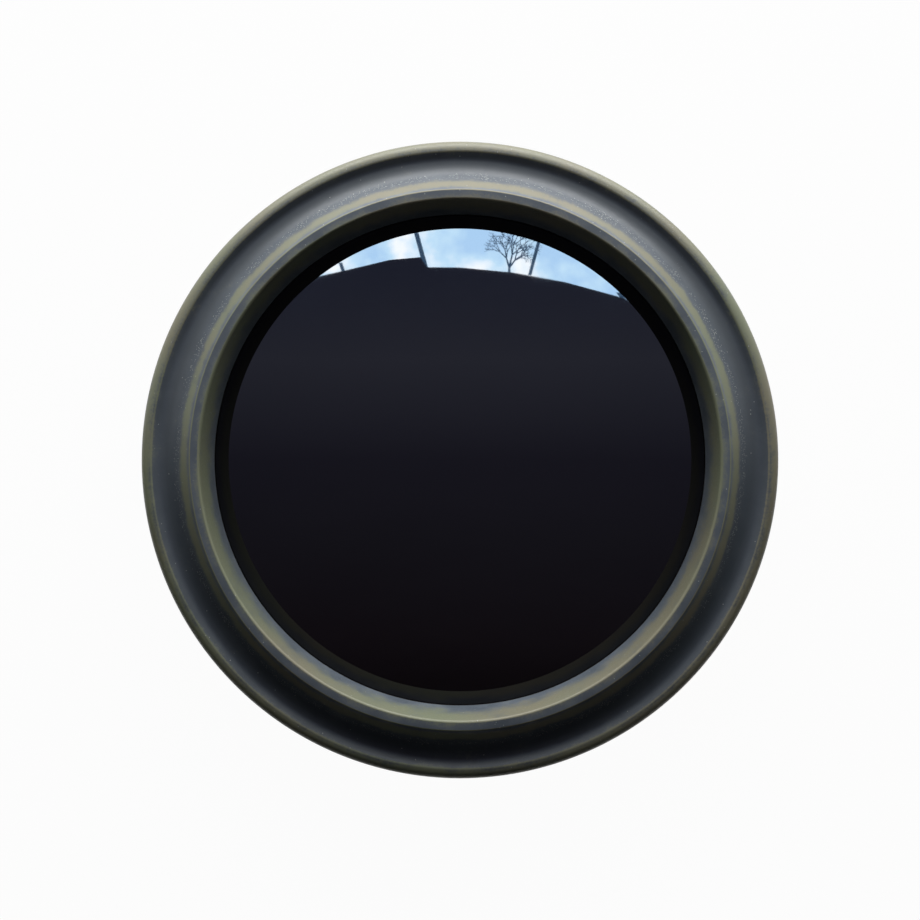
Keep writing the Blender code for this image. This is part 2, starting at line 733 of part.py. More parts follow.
def make_keepers(frame, material, screw_material):
    """Each keeper is modelled on +X and turned to its dog."""
    ledge_low = keeper_top - KEEPER_LEDGE
    half_angle = math.degrees(math.asin(KEEPER_HALF_WIDTH / keeper_outer))
    for side in SIDES:
        turn = Matrix.Rotation(math.radians(dog_angles[side]), 4, "Z")
        plate = bmesh.new()
        outline = arc(0, 0, keeper_outer, -half_angle, half_angle, 5)
        outline += [(keeper_face, KEEPER_HALF_WIDTH), (keeper_face, -KEEPER_HALF_WIDTH)]
        prism(plate, outline, ledge_low - KEEPER_DROP, keeper_top)
        bmesh.ops.transform(plate, matrix=turn, verts=plate.verts)
        keeper = to_object("keeper_" + side, plate, material)
        shelf = bmesh.new()
        add_box(
            shelf,
            (keeper_face - TONGUE_GAP - KEEPER_BITE, -KEEPER_LEDGE_HALF_WIDTH, ledge_low),
            (keeper_face + KEEPER_PLATE / 3, KEEPER_LEDGE_HALF_WIDTH, keeper_top - SEAT_GAP),
        )
        join(keeper, helper_at("keeper_shelf_" + side, shelf, turn))
        holes = bmesh.new()
        places = keeper_screw_places(side)
        add_holes(holes, KEEPER_SCREW, KEEPER_PLATE + CUT_OVER, places)
        cut(keeper, helper_at("keeper_holes_" + side, holes))
        put(keeper, frame, (0, 0, 0))
        names = [f"keeper_screw_{side}_{index + 1}" for index in range(len(places))]
        screws(names, KEEPER_SCREW, frame, places, screw_material)


def make_hinge(frame, lid, pin_material, bush_material):
    clip_start = lug_outer_x + LUG_WIDTH + SEAT_GAP
    clip_end = clip_start + CLIP_THICKNESS
    groove_r = PIN_R - PIN_GROOVE_DEPTH
    head_end = lug_inner_x - SEAT_GAP
    pin_profile = [
        (0, head_end - PIN_HEAD_THICKNESS),
        (PIN_HEAD_R, head_end - PIN_HEAD_THICKNESS),
        (PIN_HEAD_R, head_end),
        (PIN_R, head_end),
        (PIN_R, clip_start - RUN_GAP),
        (groove_r, clip_start - RUN_GAP),
        (groove_r, clip_end + RUN_GAP),
        (PIN_R, clip_end + RUN_GAP),
        (PIN_R, clip_end + PIN_END - PIN_GROOVE_DEPTH),
        (groove_r, clip_end + PIN_END),
        (0, clip_end + PIN_END),
    ]
    bush_inner = PIN_R + RUN_GAP
    bush_outer = bush_inner + BUSH_WALL
    bush_end = KNUCKLE_WIDTH / 2
    bush_profile = [
        (bush_inner, -bush_end),
        (bush_outer, -bush_end),
        (bush_outer, bush_end),
        (bush_inner, bush_end),
    ]
    for side, sign in SIDES.items():
        turn = (0, sign * math.pi / 2, 0)
        pin = turned("hinge_pin_" + side, pin_profile, pin_material, PIN_SIDES)
        put(pin, frame, (0, hinge_y, hinge_z), turn)
        bush = turned("hinge_bush_" + side, bush_profile, bush_material, PIN_SIDES)
        put(bush, lid, (sign * KNUCKLE_X, hinge_y, hinge_z), turn)
        ring = bmesh.new()
        outline = arc(0, 0, CLIP_R, CLIP_MOUTH, 360 - CLIP_MOUTH, 14)
        outline += arc(0, 0, groove_r + RUN_GAP, 360 - CLIP_MOUTH, CLIP_MOUTH, 10)
        prism(ring, outline, clip_start, clip_end)
        clip = to_object("hinge_clip_" + side, ring, pin_material)
        put(clip, frame, (0, hinge_y, hinge_z), turn)


def make_dog(side, sign, lid, dog, lever_material, steel, bush_material):
    """One dog, with its local X radially outward; at rest its hand lever points to the centre."""
    heading = math.radians(dog_angles[side])
    centre = on_circle(dog_pivot_r, dog_angles[side])
    spindle_bore = SPINDLE_R + RUN_GAP
    hub_bore = spindle_bore + DOG_BUSH_WALL + RUN_GAP

    hub_outer = arc(
        DOG_HUB_R - DOG_HUB_EDGE, hub_bottom + DOG_HUB_EDGE, DOG_HUB_EDGE, -90, 0, 2
    )
    hub = bmesh.new()
    add_turned(
        hub, [(hub_bore, hub_bottom)] + hub_outer + [(DOG_HUB_R, hub_top), (hub_bore, hub_top)],
        HUB_SIDES,
    )
    lever = to_object("dog_lever_" + side, hub, lever_material)

    # Arm and tongue start inside the hub's wall, and the arm is narrowest midway
    root = -(hub_bore + DOG_HUB_R) / 2
    arm = bmesh.new()
    flank = []
    for step in range(ARM_STEPS + 1):
        along = step / ARM_STEPS
        width = ARM_ROOT + (ARM_TIP_R - ARM_ROOT) * along
        waist = 4 * along * (1 - along) * ((ARM_ROOT + ARM_TIP_R) / 2 - ARM_WAIST)
        flank.append((root + (-ARM_LENGTH - root) * along, width - waist))
    outline = flank + arc(-ARM_LENGTH, 0, ARM_TIP_R, 90, 270, 8)[1:-1]
    outline += [(x, -y) for x, y in reversed(flank)]
    prism(arm, outline, hub_bottom, hub_bottom + ARM_THICKNESS)
    bmesh.ops.recalc_face_normals(arm, faces=arm.faces)
    level = [edge for edge in arm.edges if abs(edge.verts[0].co.z - edge.verts[1].co.z) < 1e-6]
    bmesh.ops.bevel(
        arm, geom=level, offset=ARM_EDGE, offset_type="OFFSET", affect="EDGES", segments=1, profile=0.5
    )
    join(lever, helper_at("dog_arm_" + side, arm))

    tongue = bmesh.new()
    tip_arc = arc(
        0, -(tongue_reach - TONGUE_HALF_WIDTH), TONGUE_HALF_WIDTH, 180, 360, 8
    )
    outline = [(-TONGUE_HALF_WIDTH, root)] + tip_arc + [(TONGUE_HALF_WIDTH, root)]
    verts = prism(tongue, outline, tongue_top - TONGUE_THICKNESS, tongue_top)
    for vert in verts:
        # The tongue's leading side falls away, so that turning the lever draws the lid down
        if vert.co.z > tongue_top - TONGUE_THICKNESS / 2 and vert.co.x > 0:
            vert.co.z -= TONGUE_RAMP * vert.co.x / TONGUE_HALF_WIDTH
    mirror = Matrix.Diagonal((1, sign, 1, 1))
    join(lever, helper_at("dog_tongue_" + side, tongue, mirror))
    put(lever, dog, centre, (0, 0, heading))

    bush_outer = spindle_bore + DOG_BUSH_WALL
    flange_top_z = retainer_bottom - SEAT_GAP
    flange_low_z = hub_top + SEAT_GAP
    bush = turned(
        "dog_bush_" + side,
        [
            (spindle_bore, flange_top_z),
            (DOG_BUSH_FLANGE_R, flange_top_z),
            (DOG_BUSH_FLANGE_R, flange_low_z),
            (bush_outer, flange_low_z),
            (bush_outer, hub_bottom),
            (spindle_bore, hub_bottom),
        ],
        bush_material,
        PIN_SIDES,
    )
    put(bush, dog, centre, (0, 0, heading))

    washer_top = hub_bottom - SEAT_GAP
    washer_bottom = washer_top - WASHER_THICKNESS
    washer = turned(
        "dog_washer_" + side,
        [
            (spindle_bore, washer_top),
            (WASHER_R, washer_top),
            (WASHER_R, washer_bottom),
            (spindle_bore, washer_bottom),
        ],
        steel,
        PIN_SIDES,
    )
    put(washer, lid, centre, (0, 0, heading))

    head_top = washer_bottom - SEAT_GAP
    head_bottom = head_top - SPINDLE_HEAD
    shoulder = retainer_bottom - RUN_GAP
    spindle = turned(
        "dog_spindle_" + side,
        [
            (0, retainer_top - SEAT_GAP),
            (SPINDLE_THREAD_R, retainer_top - SEAT_GAP),
            (SPINDLE_THREAD_R, shoulder),
            (SPINDLE_R, shoulder),
            (SPINDLE_R, head_top),
            (SPINDLE_HEAD_R, head_top),
            (SPINDLE_HEAD_R, head_bottom + DOG_HUB_EDGE),
            (SPINDLE_HEAD_R - DOG_HUB_EDGE, head_bottom),
            (0, head_bottom),
        ],
        steel,
        PIN_SIDES,
    )
    put(spindle, lid, centre, (0, 0, heading))


def build():
    clear_scene()
    bronze = make_material("patinated bronze", 92, 93, 84, 0.38, 0.85)
    acrylic = make_material("smoked acrylic", 16, 18, 22, 0.06, 0.0)
    rubber = make_material("black EPDM", 24, 24, 25, 0.85, 0.0)
    steel = make_material("stainless steel", 186, 188, 190, 0.3, 1.0)
    acetal = make_material("white acetal", 226, 226, 220, 0.45, 0.0)

    frame = make_empty("frame_body", (0, 0, 0))
    lid = make_empty("lid_hinge_axis", (0, hinge_y, hinge_z))
    make_base_frame(frame, bronze)
    make_deck_seal(frame, rubber, steel)
    make_trim_ring(frame, bronze, steel)
    make_keepers(frame, steel, steel)
    make_lid_ring(lid, bronze)
    make_lens(lid, acrylic, rubber)
    make_retainer(lid, bronze, steel)
    make_lid_gasket(lid, rubber)
    make_hinge(frame, lid, steel, acetal)
    for side, sign in SIDES.items():
        centre = on_circle(dog_pivot_r, dog_angles[side], hub_bottom)
        dog = make_empty(f"dog_{side}_axis", centre, lid)
        make_dog(side, sign, lid, dog, bronze, steel, acetal)


build()
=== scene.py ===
import json
import math
import random

import bmesh
import bpy
from mathutils import Matrix, Vector


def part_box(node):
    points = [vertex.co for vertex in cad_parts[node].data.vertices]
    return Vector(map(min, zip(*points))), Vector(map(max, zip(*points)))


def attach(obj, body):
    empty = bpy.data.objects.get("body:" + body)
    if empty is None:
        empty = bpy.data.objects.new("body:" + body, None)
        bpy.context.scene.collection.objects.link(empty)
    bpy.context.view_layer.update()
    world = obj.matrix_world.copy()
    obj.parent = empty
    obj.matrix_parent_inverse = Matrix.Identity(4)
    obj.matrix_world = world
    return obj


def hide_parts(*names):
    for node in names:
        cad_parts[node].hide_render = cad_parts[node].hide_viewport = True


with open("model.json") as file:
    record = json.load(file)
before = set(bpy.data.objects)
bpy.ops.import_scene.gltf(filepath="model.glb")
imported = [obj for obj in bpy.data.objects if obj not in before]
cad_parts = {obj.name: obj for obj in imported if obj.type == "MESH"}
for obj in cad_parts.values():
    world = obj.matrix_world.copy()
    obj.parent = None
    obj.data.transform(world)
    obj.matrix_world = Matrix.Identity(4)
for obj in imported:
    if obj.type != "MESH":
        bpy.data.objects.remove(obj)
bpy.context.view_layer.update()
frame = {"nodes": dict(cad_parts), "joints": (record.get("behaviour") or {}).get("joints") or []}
mm = 0.001
sides = (("left", -1), ("right", 1))
cut, join = "DIFFERENCE", "UNION"
print("stage 1: frame loaded,", len(frame["nodes"]), "nodes")


def hexColour(code):
    # sRGB hex to the linear values that the shaders take
    channels = [int(code[i:i + 2], 16) / 255 for i in (1, 3, 5)]
    linear = [c / 12.92 if c <= 0.04045 else ((c + 0.055) / 1.055) ** 2.4 for c in channels]
    return (*linear, 1)


def setInputs(tree, node, inputs):
    # an input is a plain value, or a node or (node, output) for a link
    for key, value in inputs.items():
        source = value if isinstance(value, tuple) else (value, 0)
        if isinstance(source[0], bpy.types.Node):
            tree.links.new(source[0].outputs[source[1]], node.inputs[key])
        else:
            node.inputs[key].default_value = value


def addNode(tree, kind, inputs=None, stops=(), **settings):
    # stops are a colour ramp's (position, hex colour)
    node = tree.nodes.new("ShaderNode" + kind)
    for key, value in settings.items():
        setattr(node, key, value)
    setInputs(tree, node, inputs or {})
    if stops:
        elements = node.color_ramp.elements
        while len(elements) < len(stops):
            elements.new(0.5)
        for element, (position, code) in zip(elements, stops):
            element.position = position
            element.color = hexColour(code)
    return node


def newMaterial(name):
    material = bpy.data.materials.new(name)
    material.use_nodes = True
    tree = material.node_tree
    return material, tree, tree.nodes["Principled BSDF"]


def arc(centreR, centreZ, radius, start, end, steps):
    # points (r, z) from start to end, in degrees
    angles = [math.radians(start + (end - start) * i / steps) for i in range(steps + 1)]
    return [(centreR + radius * math.cos(a), centreZ + radius * math.sin(a)) for a in angles]


def spinOutline(bm, outline, steps):
    # a closed (r, z) outline makes a ring; one that starts and ends on the axis makes a solid
    verts = [bm.verts.new((r, 0, z)) for r, z in outline]
    edges = [bm.edges.new(pair) for pair in zip(verts, verts[1:])]
    if outline[0][0] > 0:
        edges.append(bm.edges.new((verts[-1], verts[0])))
    bmesh.ops.spin(bm, geom=verts + edges, cent=(0, 0, 0), axis=(0, 0, 1), dvec=(0, 0, 0),
                   angle=math.tau, steps=steps, use_merge=True, use_duplicate=False)
    bmesh.ops.remove_doubles(bm, verts=bm.verts, dist=1e-7)


def turnBy(degrees, axis="Z"):
    return Matrix.Rotation(math.radians(degrees), 4, axis)


def moveBy(bm, place):
    bmesh.ops.transform(bm, matrix=place, verts=bm.verts)


def extrudeOutline(bm, outline, bottom, top):
    verts = [bm.verts.new((x, y, bottom)) for x, y in outline]
    face = bm.faces.new(verts)
    made = bmesh.ops.extrude_face_region(bm, geom=[face])["geom"]
    raised = [item for item in made if isinstance(item, bmesh.types.BMVert)]
    bmesh.ops.translate(bm, verts=raised, vec=(0, 0, top - bottom))
    return verts + raised


def addBlock(bm, low, high):
    corners = [(low[0], low[1]), (high[0], low[1]), (high[0], high[1]), (low[0], high[1])]
    extrudeOutline(bm, corners, low[2], high[2])


def addRod(bm, radius, start, end, segments):
    # a cylinder between two points
    start = Vector(start)
    end = Vector(end)
    turn = (end - start).to_track_quat("Z", "Y").to_matrix().to_4x4()
    place = Matrix.Translation((start + end) / 2) @ turn
    bmesh.ops.create_cone(bm, cap_ends=True, segments=segments, radius1=radius, radius2=radius,
                          depth=(end - start).length, matrix=place)


def roundEdges(bm, chosen, offset, segments):
    bmesh.ops.bevel(bm, geom=chosen, offset=offset, offset_type="OFFSET", affect="EDGES",
                    segments=segments, profile=0.5, clamp_overlap=True, material=-1)


def onCircle(radius, degrees, height=0.0):
    angle = math.radians(degrees)
    return Vector((radius * math.cos(angle), radius * math.sin(angle), height))


def addUprights(bm, radius, ringR, angles, low, high, segments):
    for angle in angles:
        addRod(bm, radius, onCircle(ringR, angle, low), onCircle(ringR, angle, high), segments)


def newObject(name, bm):
    mesh = bpy.data.meshes.new(name)
    bm.to_mesh(mesh)
    bm.free()
    made = bpy.data.objects.new(name, mesh)
    bpy.context.scene.collection.objects.link(made)
    return made


def toolFrom(bm):
    # a throwaway object for a Boolean
    bmesh.ops.recalc_face_normals(bm, faces=bm.faces)
    return newObject("tool", bm)


def carve(target, steps):
    # target is a bmesh; steps are (operation, bmesh). Returns the result as a bmesh
    work = toolFrom(target)
    tools = []
    for operation, bm in steps:
        tool = toolFrom(bm)
        tools.append(tool)
        boolean = work.modifiers.new("carve", "BOOLEAN")
        boolean.operation = operation
        boolean.solver = "EXACT"
        boolean.object = tool
    graph = bpy.context.evaluated_depsgraph_get()
    done = bmesh.new()
    done.from_mesh(work.evaluated_get(graph).to_mesh())
    for item in tools + [work]:
        bpy.data.objects.remove(item, do_unlink=True)
    bmesh.ops.remove_doubles(done, verts=done.verts, dist=2e-6)
    return done


def markBands(mesh, name, bands, lowest):
    # stores how near each vertex above a height is to turned bands, given as (radius, half width, strength)
    values = []
    for vert in mesh.vertices:
        radius = math.hypot(vert.co.x, vert.co.y)
        near = [strength * max(1 - abs(radius - middle) / half, 0) ** 0.6 for middle, half, strength in bands]
        values.append(max(near) if vert.co.z > lowest else 0.0)
    layer = mesh.attributes.new(name, "FLOAT", "POINT")
    layer.data.foreach_set("value", values)


def markWear(mesh):
    # stores how sharply convex the surface is at each vertex, 0 to 1, for rubbed edges
    bm = bmesh.new()
    bm.from_mesh(mesh)
    bend = [0.0] * len(bm.verts)
    for edge in bm.edges:
        if len(edge.link_faces) != 2:
            continue
        width = sum(face.calc_area() for face in edge.link_faces) / (2 * edge.calc_length() + 1e-9)
        curve = edge.calc_face_angle_signed(0) / (width / mm + 0.15)
        for vert in edge.verts:
            bend[vert.index] = max(bend[vert.index], curve)
    for _ in range(2):
        bend = [
            0.5 * bend[v.index]
            + 0.5 * sum(bend[e.other_vert(v).index] for e in v.link_edges) / max(len(v.link_edges), 1)
            for v in bm.verts
        ]
    bm.free()
    layer = mesh.attributes.new("edgeWear", "FLOAT", "POINT")
    layer.data.foreach_set("value", [min(max((b - 0.08) / 0.3, 0), 1) for b in bend])


def finishPiece(name, bm, finish, body, node, creaseAngle=32):
    # turns a bmesh into a named piece that rides on its body and stands for its CAD node
    bmesh.ops.recalc_face_normals(bm, faces=bm.faces)
    piece = newObject(name, bm)
    mesh = piece.data
    mesh.shade_smooth()
    mesh.set_sharp_from_angle(angle=math.radians(creaseAngle))
    markWear(mesh)
    mesh.materials.append(finishes[finish])
    level = piece.modifiers.new("levelNormals", "WEIGHTED_NORMAL")
    level.keep_sharp = True
    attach(piece, body)
    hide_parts(node)
    return piece


def turnPiece(name, outline, steps, finish, body, node, place=None, cuts=()):
    # an outline spun, carved where it has cuts, and put in its place
    bm = bmesh.new()
    spinOutline(bm, outline, steps)
    if cuts:
        bm = carve(bm, cuts)
    if place:
        moveBy(bm, place)
    finishPiece(name, bm, finish, body, node)


# sizes shared by several pieces, worked out from the frame
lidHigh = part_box("lid_ring")[1]
lensLow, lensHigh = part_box("lens")
retainerLow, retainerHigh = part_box("lens_retainer")
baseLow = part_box("base_frame")[0]
sealLow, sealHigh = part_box("deck_seal")
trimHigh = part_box("trim_ring")[1]
gasketLow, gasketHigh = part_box("lid_gasket")
lensSealLow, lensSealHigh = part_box("lens_seal")
hinge = next(joint for joint in frame["joints"] if joint["name"] == "lid_hinge")
hingeY, hingeZ = hinge["pos_m"][1:]
seatGap = 0.3 * mm
runGap = 0.15 * mm
nick = 0.3 * mm  # small chamfer on a corner
cutOver = 2.0 * mm  # how far a cutter reaches past what it cuts
plugR = retainerHigh.x
coamingInner = plugR + 1.7 * mm
coamingOuter = coamingInner + 3.5 * mm
flangeBottom = sealHigh.z + seatGap
flangeTop = flangeBottom + 4.0 * mm
lidUnderside = gasketHigh.z + seatGap
troughFloor = lidUnderside + 3.2 * mm
coamingTop = gasketLow.z - seatGap
rebateR = lensHigh.x + 0.4 * mm
spigotInner = coamingOuter + 0.4 * mm
flangeR = lidHigh.x - 1.0 * mm
chordY = hingeY + 3.8 * mm
deckScrewR = (coamingOuter + lidHigh.x - 3.2 * mm) / 2
trimScrewR = (spigotInner + flangeR) / 2
lensScrewR = (rebateR + plugR) / 2
deckScrewAngles = [22.5 + 45 * step for step in range(8)]
trimScrewAngles = [60 * step for step in range(6)]
lensScrewAngles = deckScrewAngles
dogHeadings = {"left": 220, "right": 320}
dogPivotR = rebateR - 9.6 * mm
faceDown = turnBy(180, "X")


def patinatedBronze():
    # cast bronze, dark liver patina under wax, with painted shade darkening the trough and the ridge's crest,
    # olive-brown where hands rub it
    material, tree, shader = newMaterial("patinatedBronze")
    spot = (addNode(tree, "TexCoord"), "Object")
    split = addNode(tree, "SeparateXYZ", {0: spot})
    flat = addNode(tree, "CombineXYZ", {0: split, 1: (split, 1)})
    radius = addNode(tree, "VectorMath", {0: flat}, operation="LENGTH")
    heading = addNode(tree, "VectorMath", {0: flat}, operation="NORMALIZE")

    # turning marks: 0.7 mm apart across the face, long round it
    across = addNode(tree, "Math", {0: (radius, "Value"), 1: 1 / (0.7 * mm)}, operation="MULTIPLY")
    upward = addNode(tree, "Math", {0: (split, 2), 1: 1 / (0.9 * mm)}, operation="MULTIPLY")
    spunAxis = addNode(tree, "VectorMath", {0: heading, 1: (2.4, 2.4, 0)}, operation="MULTIPLY")
    spunParts = addNode(tree, "SeparateXYZ", {0: spunAxis})
    spun = addNode(tree, "CombineXYZ", {0: spunParts, 1: (spunParts, 1), 2: across})
    turning = addNode(tree, "TexNoise", {"Vector": spun, "W": upward, "Scale": 1.0, "Detail": 2.0},
                      noise_dimensions="4D")

    # patina clouds about 14 mm wide, and a grain about 1.2 mm wide
    clouds = addNode(tree, "TexNoise", {"Vector": spot, "Scale": 1 / (14 * mm),
                                        "Detail": 5.0, "Roughness": 0.6})
    grain = addNode(tree, "TexNoise", {"Vector": spot, "Scale": 1 / (1.2 * mm),
                                       "Detail": 3.0, "Roughness": 0.65})
    patina = addNode(tree, "ValToRGB", {0: clouds}, [(0.3, "#525a62"), (0.52, "#5e666f"), (0.72, "#6c747c")])
    # painted shade: the trough and the crest's flat are darkened towards #3a4148 by the shade band
    paintedShade = addNode(tree, "Attribute", attribute_name="paintedShade")
    paintedShadeShare = addNode(tree, "Math", {0: (paintedShade, "Fac"), 1: 0.85}, operation="MULTIPLY")
    patinaWithShade = addNode(tree, "Mix", {0: paintedShadeShare, 6: patina, 7: hexColour("#3a4148")}, data_type="RGBA")

    # rubbed where edges are sharp and where hands hold the ring, broken up by clouds and grain
    edges = addNode(tree, "Attribute", attribute_name="edgeWear")
    rubs = addNode(tree, "Attribute", attribute_name="handRub")
    wear = addNode(tree, "Math", {0: (edges, "Fac"), 1: (rubs, "Fac")}, operation="MAXIMUM")
    grainShift = addNode(tree, "Math", {0: grain, 1: 0.9, 2: -0.45}, operation="MULTIPLY_ADD")
    cloudShift = addNode(tree, "Math", {0: clouds, 1: 1.2, 2: -0.6}, operation="MULTIPLY_ADD")
    shifted = addNode(tree, "Math", {0: wear, 1: grainShift}, operation="ADD")
    shiftedMore = addNode(tree, "Math", {0: shifted, 1: cloudShift}, operation="ADD")
    rubbed = addNode(tree, "MapRange", {"Value": shiftedMore, "From Min": 0.15, "From Max": 0.85},
                     interpolation_type="SMOOTHSTEP")
    # the rub turns from olive to brown in areas about 90 mm across
    areas = addNode(tree, "TexNoise", {"Vector": spot, "Scale": 1 / (90 * mm), "Detail": 2.0})
    rubTone = addNode(tree, "ValToRGB", {0: areas}, [(0.42, "#777c66"), (0.62, "#7c7966")])
    olive = addNode(tree, "Mix", {0: rubbed, 6: (patinaWithShade, 2), 7: rubTone}, data_type="RGBA")

    # pale mineral specks of 0.4 mm, sparse
    cells = addNode(tree, "TexVoronoi", {"Vector": spot, "Scale": 1 / (1.6 * mm)})
    tiny = addNode(tree, "Math", {0: cells, 1: 0.14}, operation="LESS_THAN")
    chosen = addNode(tree, "SeparateColor", {0: (cells, "Color")})
    few = addNode(tree, "Math", {0: chosen, 1: 0.95}, operation="GREATER_THAN")
    speck = addNode(tree, "Math", {0: tiny, 1: few}, operation="MULTIPLY")

    # a belt of painted glints, pale dots of 0.25 mm standing in for sparkling highlights, where the olive
    # meets the blue-grey
    belt = addNode(tree, "Attribute", attribute_name="paintedGlints")
    glintCells = addNode(tree, "TexVoronoi", {"Vector": spot, "Scale": 1 / (0.55 * mm)})
    glintDots = addNode(tree, "Math", {0: glintCells, 1: 0.34}, operation="LESS_THAN")
    glintPick = addNode(tree, "SeparateColor", {0: (glintCells, "Color")})
    beltShare = addNode(tree, "Math", {0: (belt, "Fac"), 1: -0.55, 2: cloudShift}, operation="MULTIPLY_ADD")
    beltPick = addNode(tree, "Math", {0: glintPick, 1: beltShare}, operation="ADD")
    beltFew = addNode(tree, "Math", {0: beltPick, 1: -0.2}, operation="LESS_THAN")
    paintedGlints = addNode(tree, "Math", {0: glintDots, 1: beltFew}, operation="MULTIPLY")
    specksAndGlints = addNode(tree, "Math", {0: speck, 1: paintedGlints}, operation="MAXIMUM")
    # the pale colour is the specks' own colour and, on the belt, a painted highlight
    colour = addNode(tree, "Mix", {0: specksAndGlints, 6: (olive, 2), 7: hexColour("#a9aca8")}, data_type="RGBA")

    rough = addNode(tree, "MapRange", {"Value": grain, "From Min": 0.3, "From Max": 0.7,
                                       "To Min": 0.4, "To Max": 0.56})
    lines = addNode(tree, "Bump", {"Strength": 0.12, "Distance": 0.1 * mm, "Height": turning})
    pits = addNode(tree, "Bump", {"Strength": 0.16, "Distance": 0.2 * mm, "Height": grain, "Normal": lines})
    setInputs(tree, shader, {"Base Color": (colour, 2), "Roughness": rough, "Normal": pits,
                             "Metallic": 0.0, "IOR": 1.5})
    return material


def smokedAcrylic():
    # cast acrylic, dense grey-black tint, flame-polished: a black mirror with faint wiping haze
    material, tree, shader = newMaterial("smokedAcrylic")
    spot = (addNode(tree, "TexCoord"), "Object")
    stretch = addNode(tree, "Mapping", {"Vector": spot, "Scale": (10, 30, 10)})
    haze = addNode(tree, "TexNoise", {"Vector": stretch, "Scale": 1.0, "Detail": 4.0, "Roughness": 0.6})
    rough = addNode(tree, "MapRange", {"Value": haze, "From Min": 0.35, "From Max": 0.75,
                                       "To Min": 0.008, "To Max": 0.03})
    tint = addNode(tree, "ValToRGB", {0: haze}, [(0.35, "#070607"), (0.75, "#0c0b0d")])
    setInputs(tree, shader, {"Base Color": tint, "Roughness": rough, "IOR": 1.49})
    return material


def mouldedEpdm():
    # extruded EPDM rubber: matt black with a fine talc bloom
    material, tree, shader = newMaterial("mouldedEpdm")
    spot = (addNode(tree, "TexCoord"), "Object")
    bloom = addNode(tree, "TexNoise", {"Vector": spot, "Scale": 1 / (3 * mm), "Detail": 4.0})
    tint = addNode(tree, "ValToRGB", {0: bloom}, [(0.35, "#151516"), (0.7, "#242425")])
    skin = addNode(tree, "Bump", {"Strength": 0.2, "Distance": 0.1 * mm, "Height": bloom})
    setInputs(tree, shader, {"Base Color": tint, "Normal": skin, "Roughness": 0.8})
    return material


def passivatedStainless():
    # turned A4 stainless steel, passivated: bright satin with faint draw marks
    material, tree, shader = newMaterial("passivatedStainless")
    spot = (addNode(tree, "TexCoord"), "Object")
    stretch = addNode(tree, "Mapping", {"Vector": spot, "Scale": (300, 300, 4000)})
    marks = addNode(tree, "TexNoise", {"Vector": stretch, "Scale": 1.0, "Detail": 2.0})
    rough = addNode(tree, "MapRange", {"Value": marks, "To Min": 0.22, "To Max": 0.38})
    tint = addNode(tree, "ValToRGB", {0: marks}, [(0.3, "#b4b6b8"), (0.7, "#cfd1d2")])
    setInputs(tree, shader, {"Base Color": tint, "Roughness": rough, "Metallic": 1.0})
    return material


def machinedAcetal():
    # white acetal, machined: waxy, with a soft mottle
    material, tree, shader = newMaterial("machinedAcetal")
    spot = (addNode(tree, "TexCoord"), "Object")
    cloud = addNode(tree, "TexNoise", {"Vector": spot, "Scale": 1 / (2 * mm), "Detail": 2.0})
    tint = addNode(tree, "ValToRGB", {0: cloud}, [(0.3, "#dcdad0"), (0.7, "#ebe9e0")])
    setInputs(tree, shader, {"Base Color": tint, "Roughness": 0.42})
    return material


finishes = {
    "bronze": patinatedBronze(),
    "acrylic": smokedAcrylic(),
    "rubber": mouldedEpdm(),
    "steel": passivatedStainless(),
    "acetal": machinedAcetal(),
}
print("stage 2: materials made")

lidShape = {
    "viewR": 118.9 * mm,
    "rubbedWall": 8.0 * mm,
    "innerRound": 1.2 * mm,
    "crest": 3.0 * mm,
    "outerRound": 1.2 * mm,
    "slope": 42.0,
    "hollowR": 10.65 * mm,
    "flat": 0.45 * mm,
    "lipHeight": 2.0 * mm,
    "riseR": 4.0 * mm,
    "rise": 35.0,
    "lipInner": 2.0 * mm,
    "lipOuter": 5.3 * mm,
    "skirtWall": 3.2 * mm,
    "skirtLift": 1.0 * mm,
    "ribWall": 2.1 * mm,
    "ribDepth": 3.0 * mm,
    "knuckleR": 4.5 * mm,
    "knuckleX": 24.5 * mm,
    "knuckleWidth": 8.4 * mm,
    "lugWidth": 4.7 * mm,
    "bushBore": 3.2 * mm,
    "tapR": 1.5 * mm,
    "tapDepth": 7.3 * mm,
    "notch": 48.0 * mm,
    "bands": {  # "bands": { # radius, half width and strength of each band on top: rubbed wear, painted shade and painted glints
        "handRub": [(119.0 * mm, 1.7 * mm, 0.85), (127.0 * mm, 3.0 * mm, 1.0), (147.4 * mm, 4.6 * mm, 0.95)],
        # painted glints along the foot of the slope
        "paintedGlints": [(131.6 * mm, 2.4 * mm, 1.0)],
        # painted shade on the crest's flat and across the trough
        "paintedShade": [(121.8 * mm, 1.9 * mm, 0.7), (137.2 * mm, 10.5 * mm, 1.0)],
    },
    "steps": 256,
}


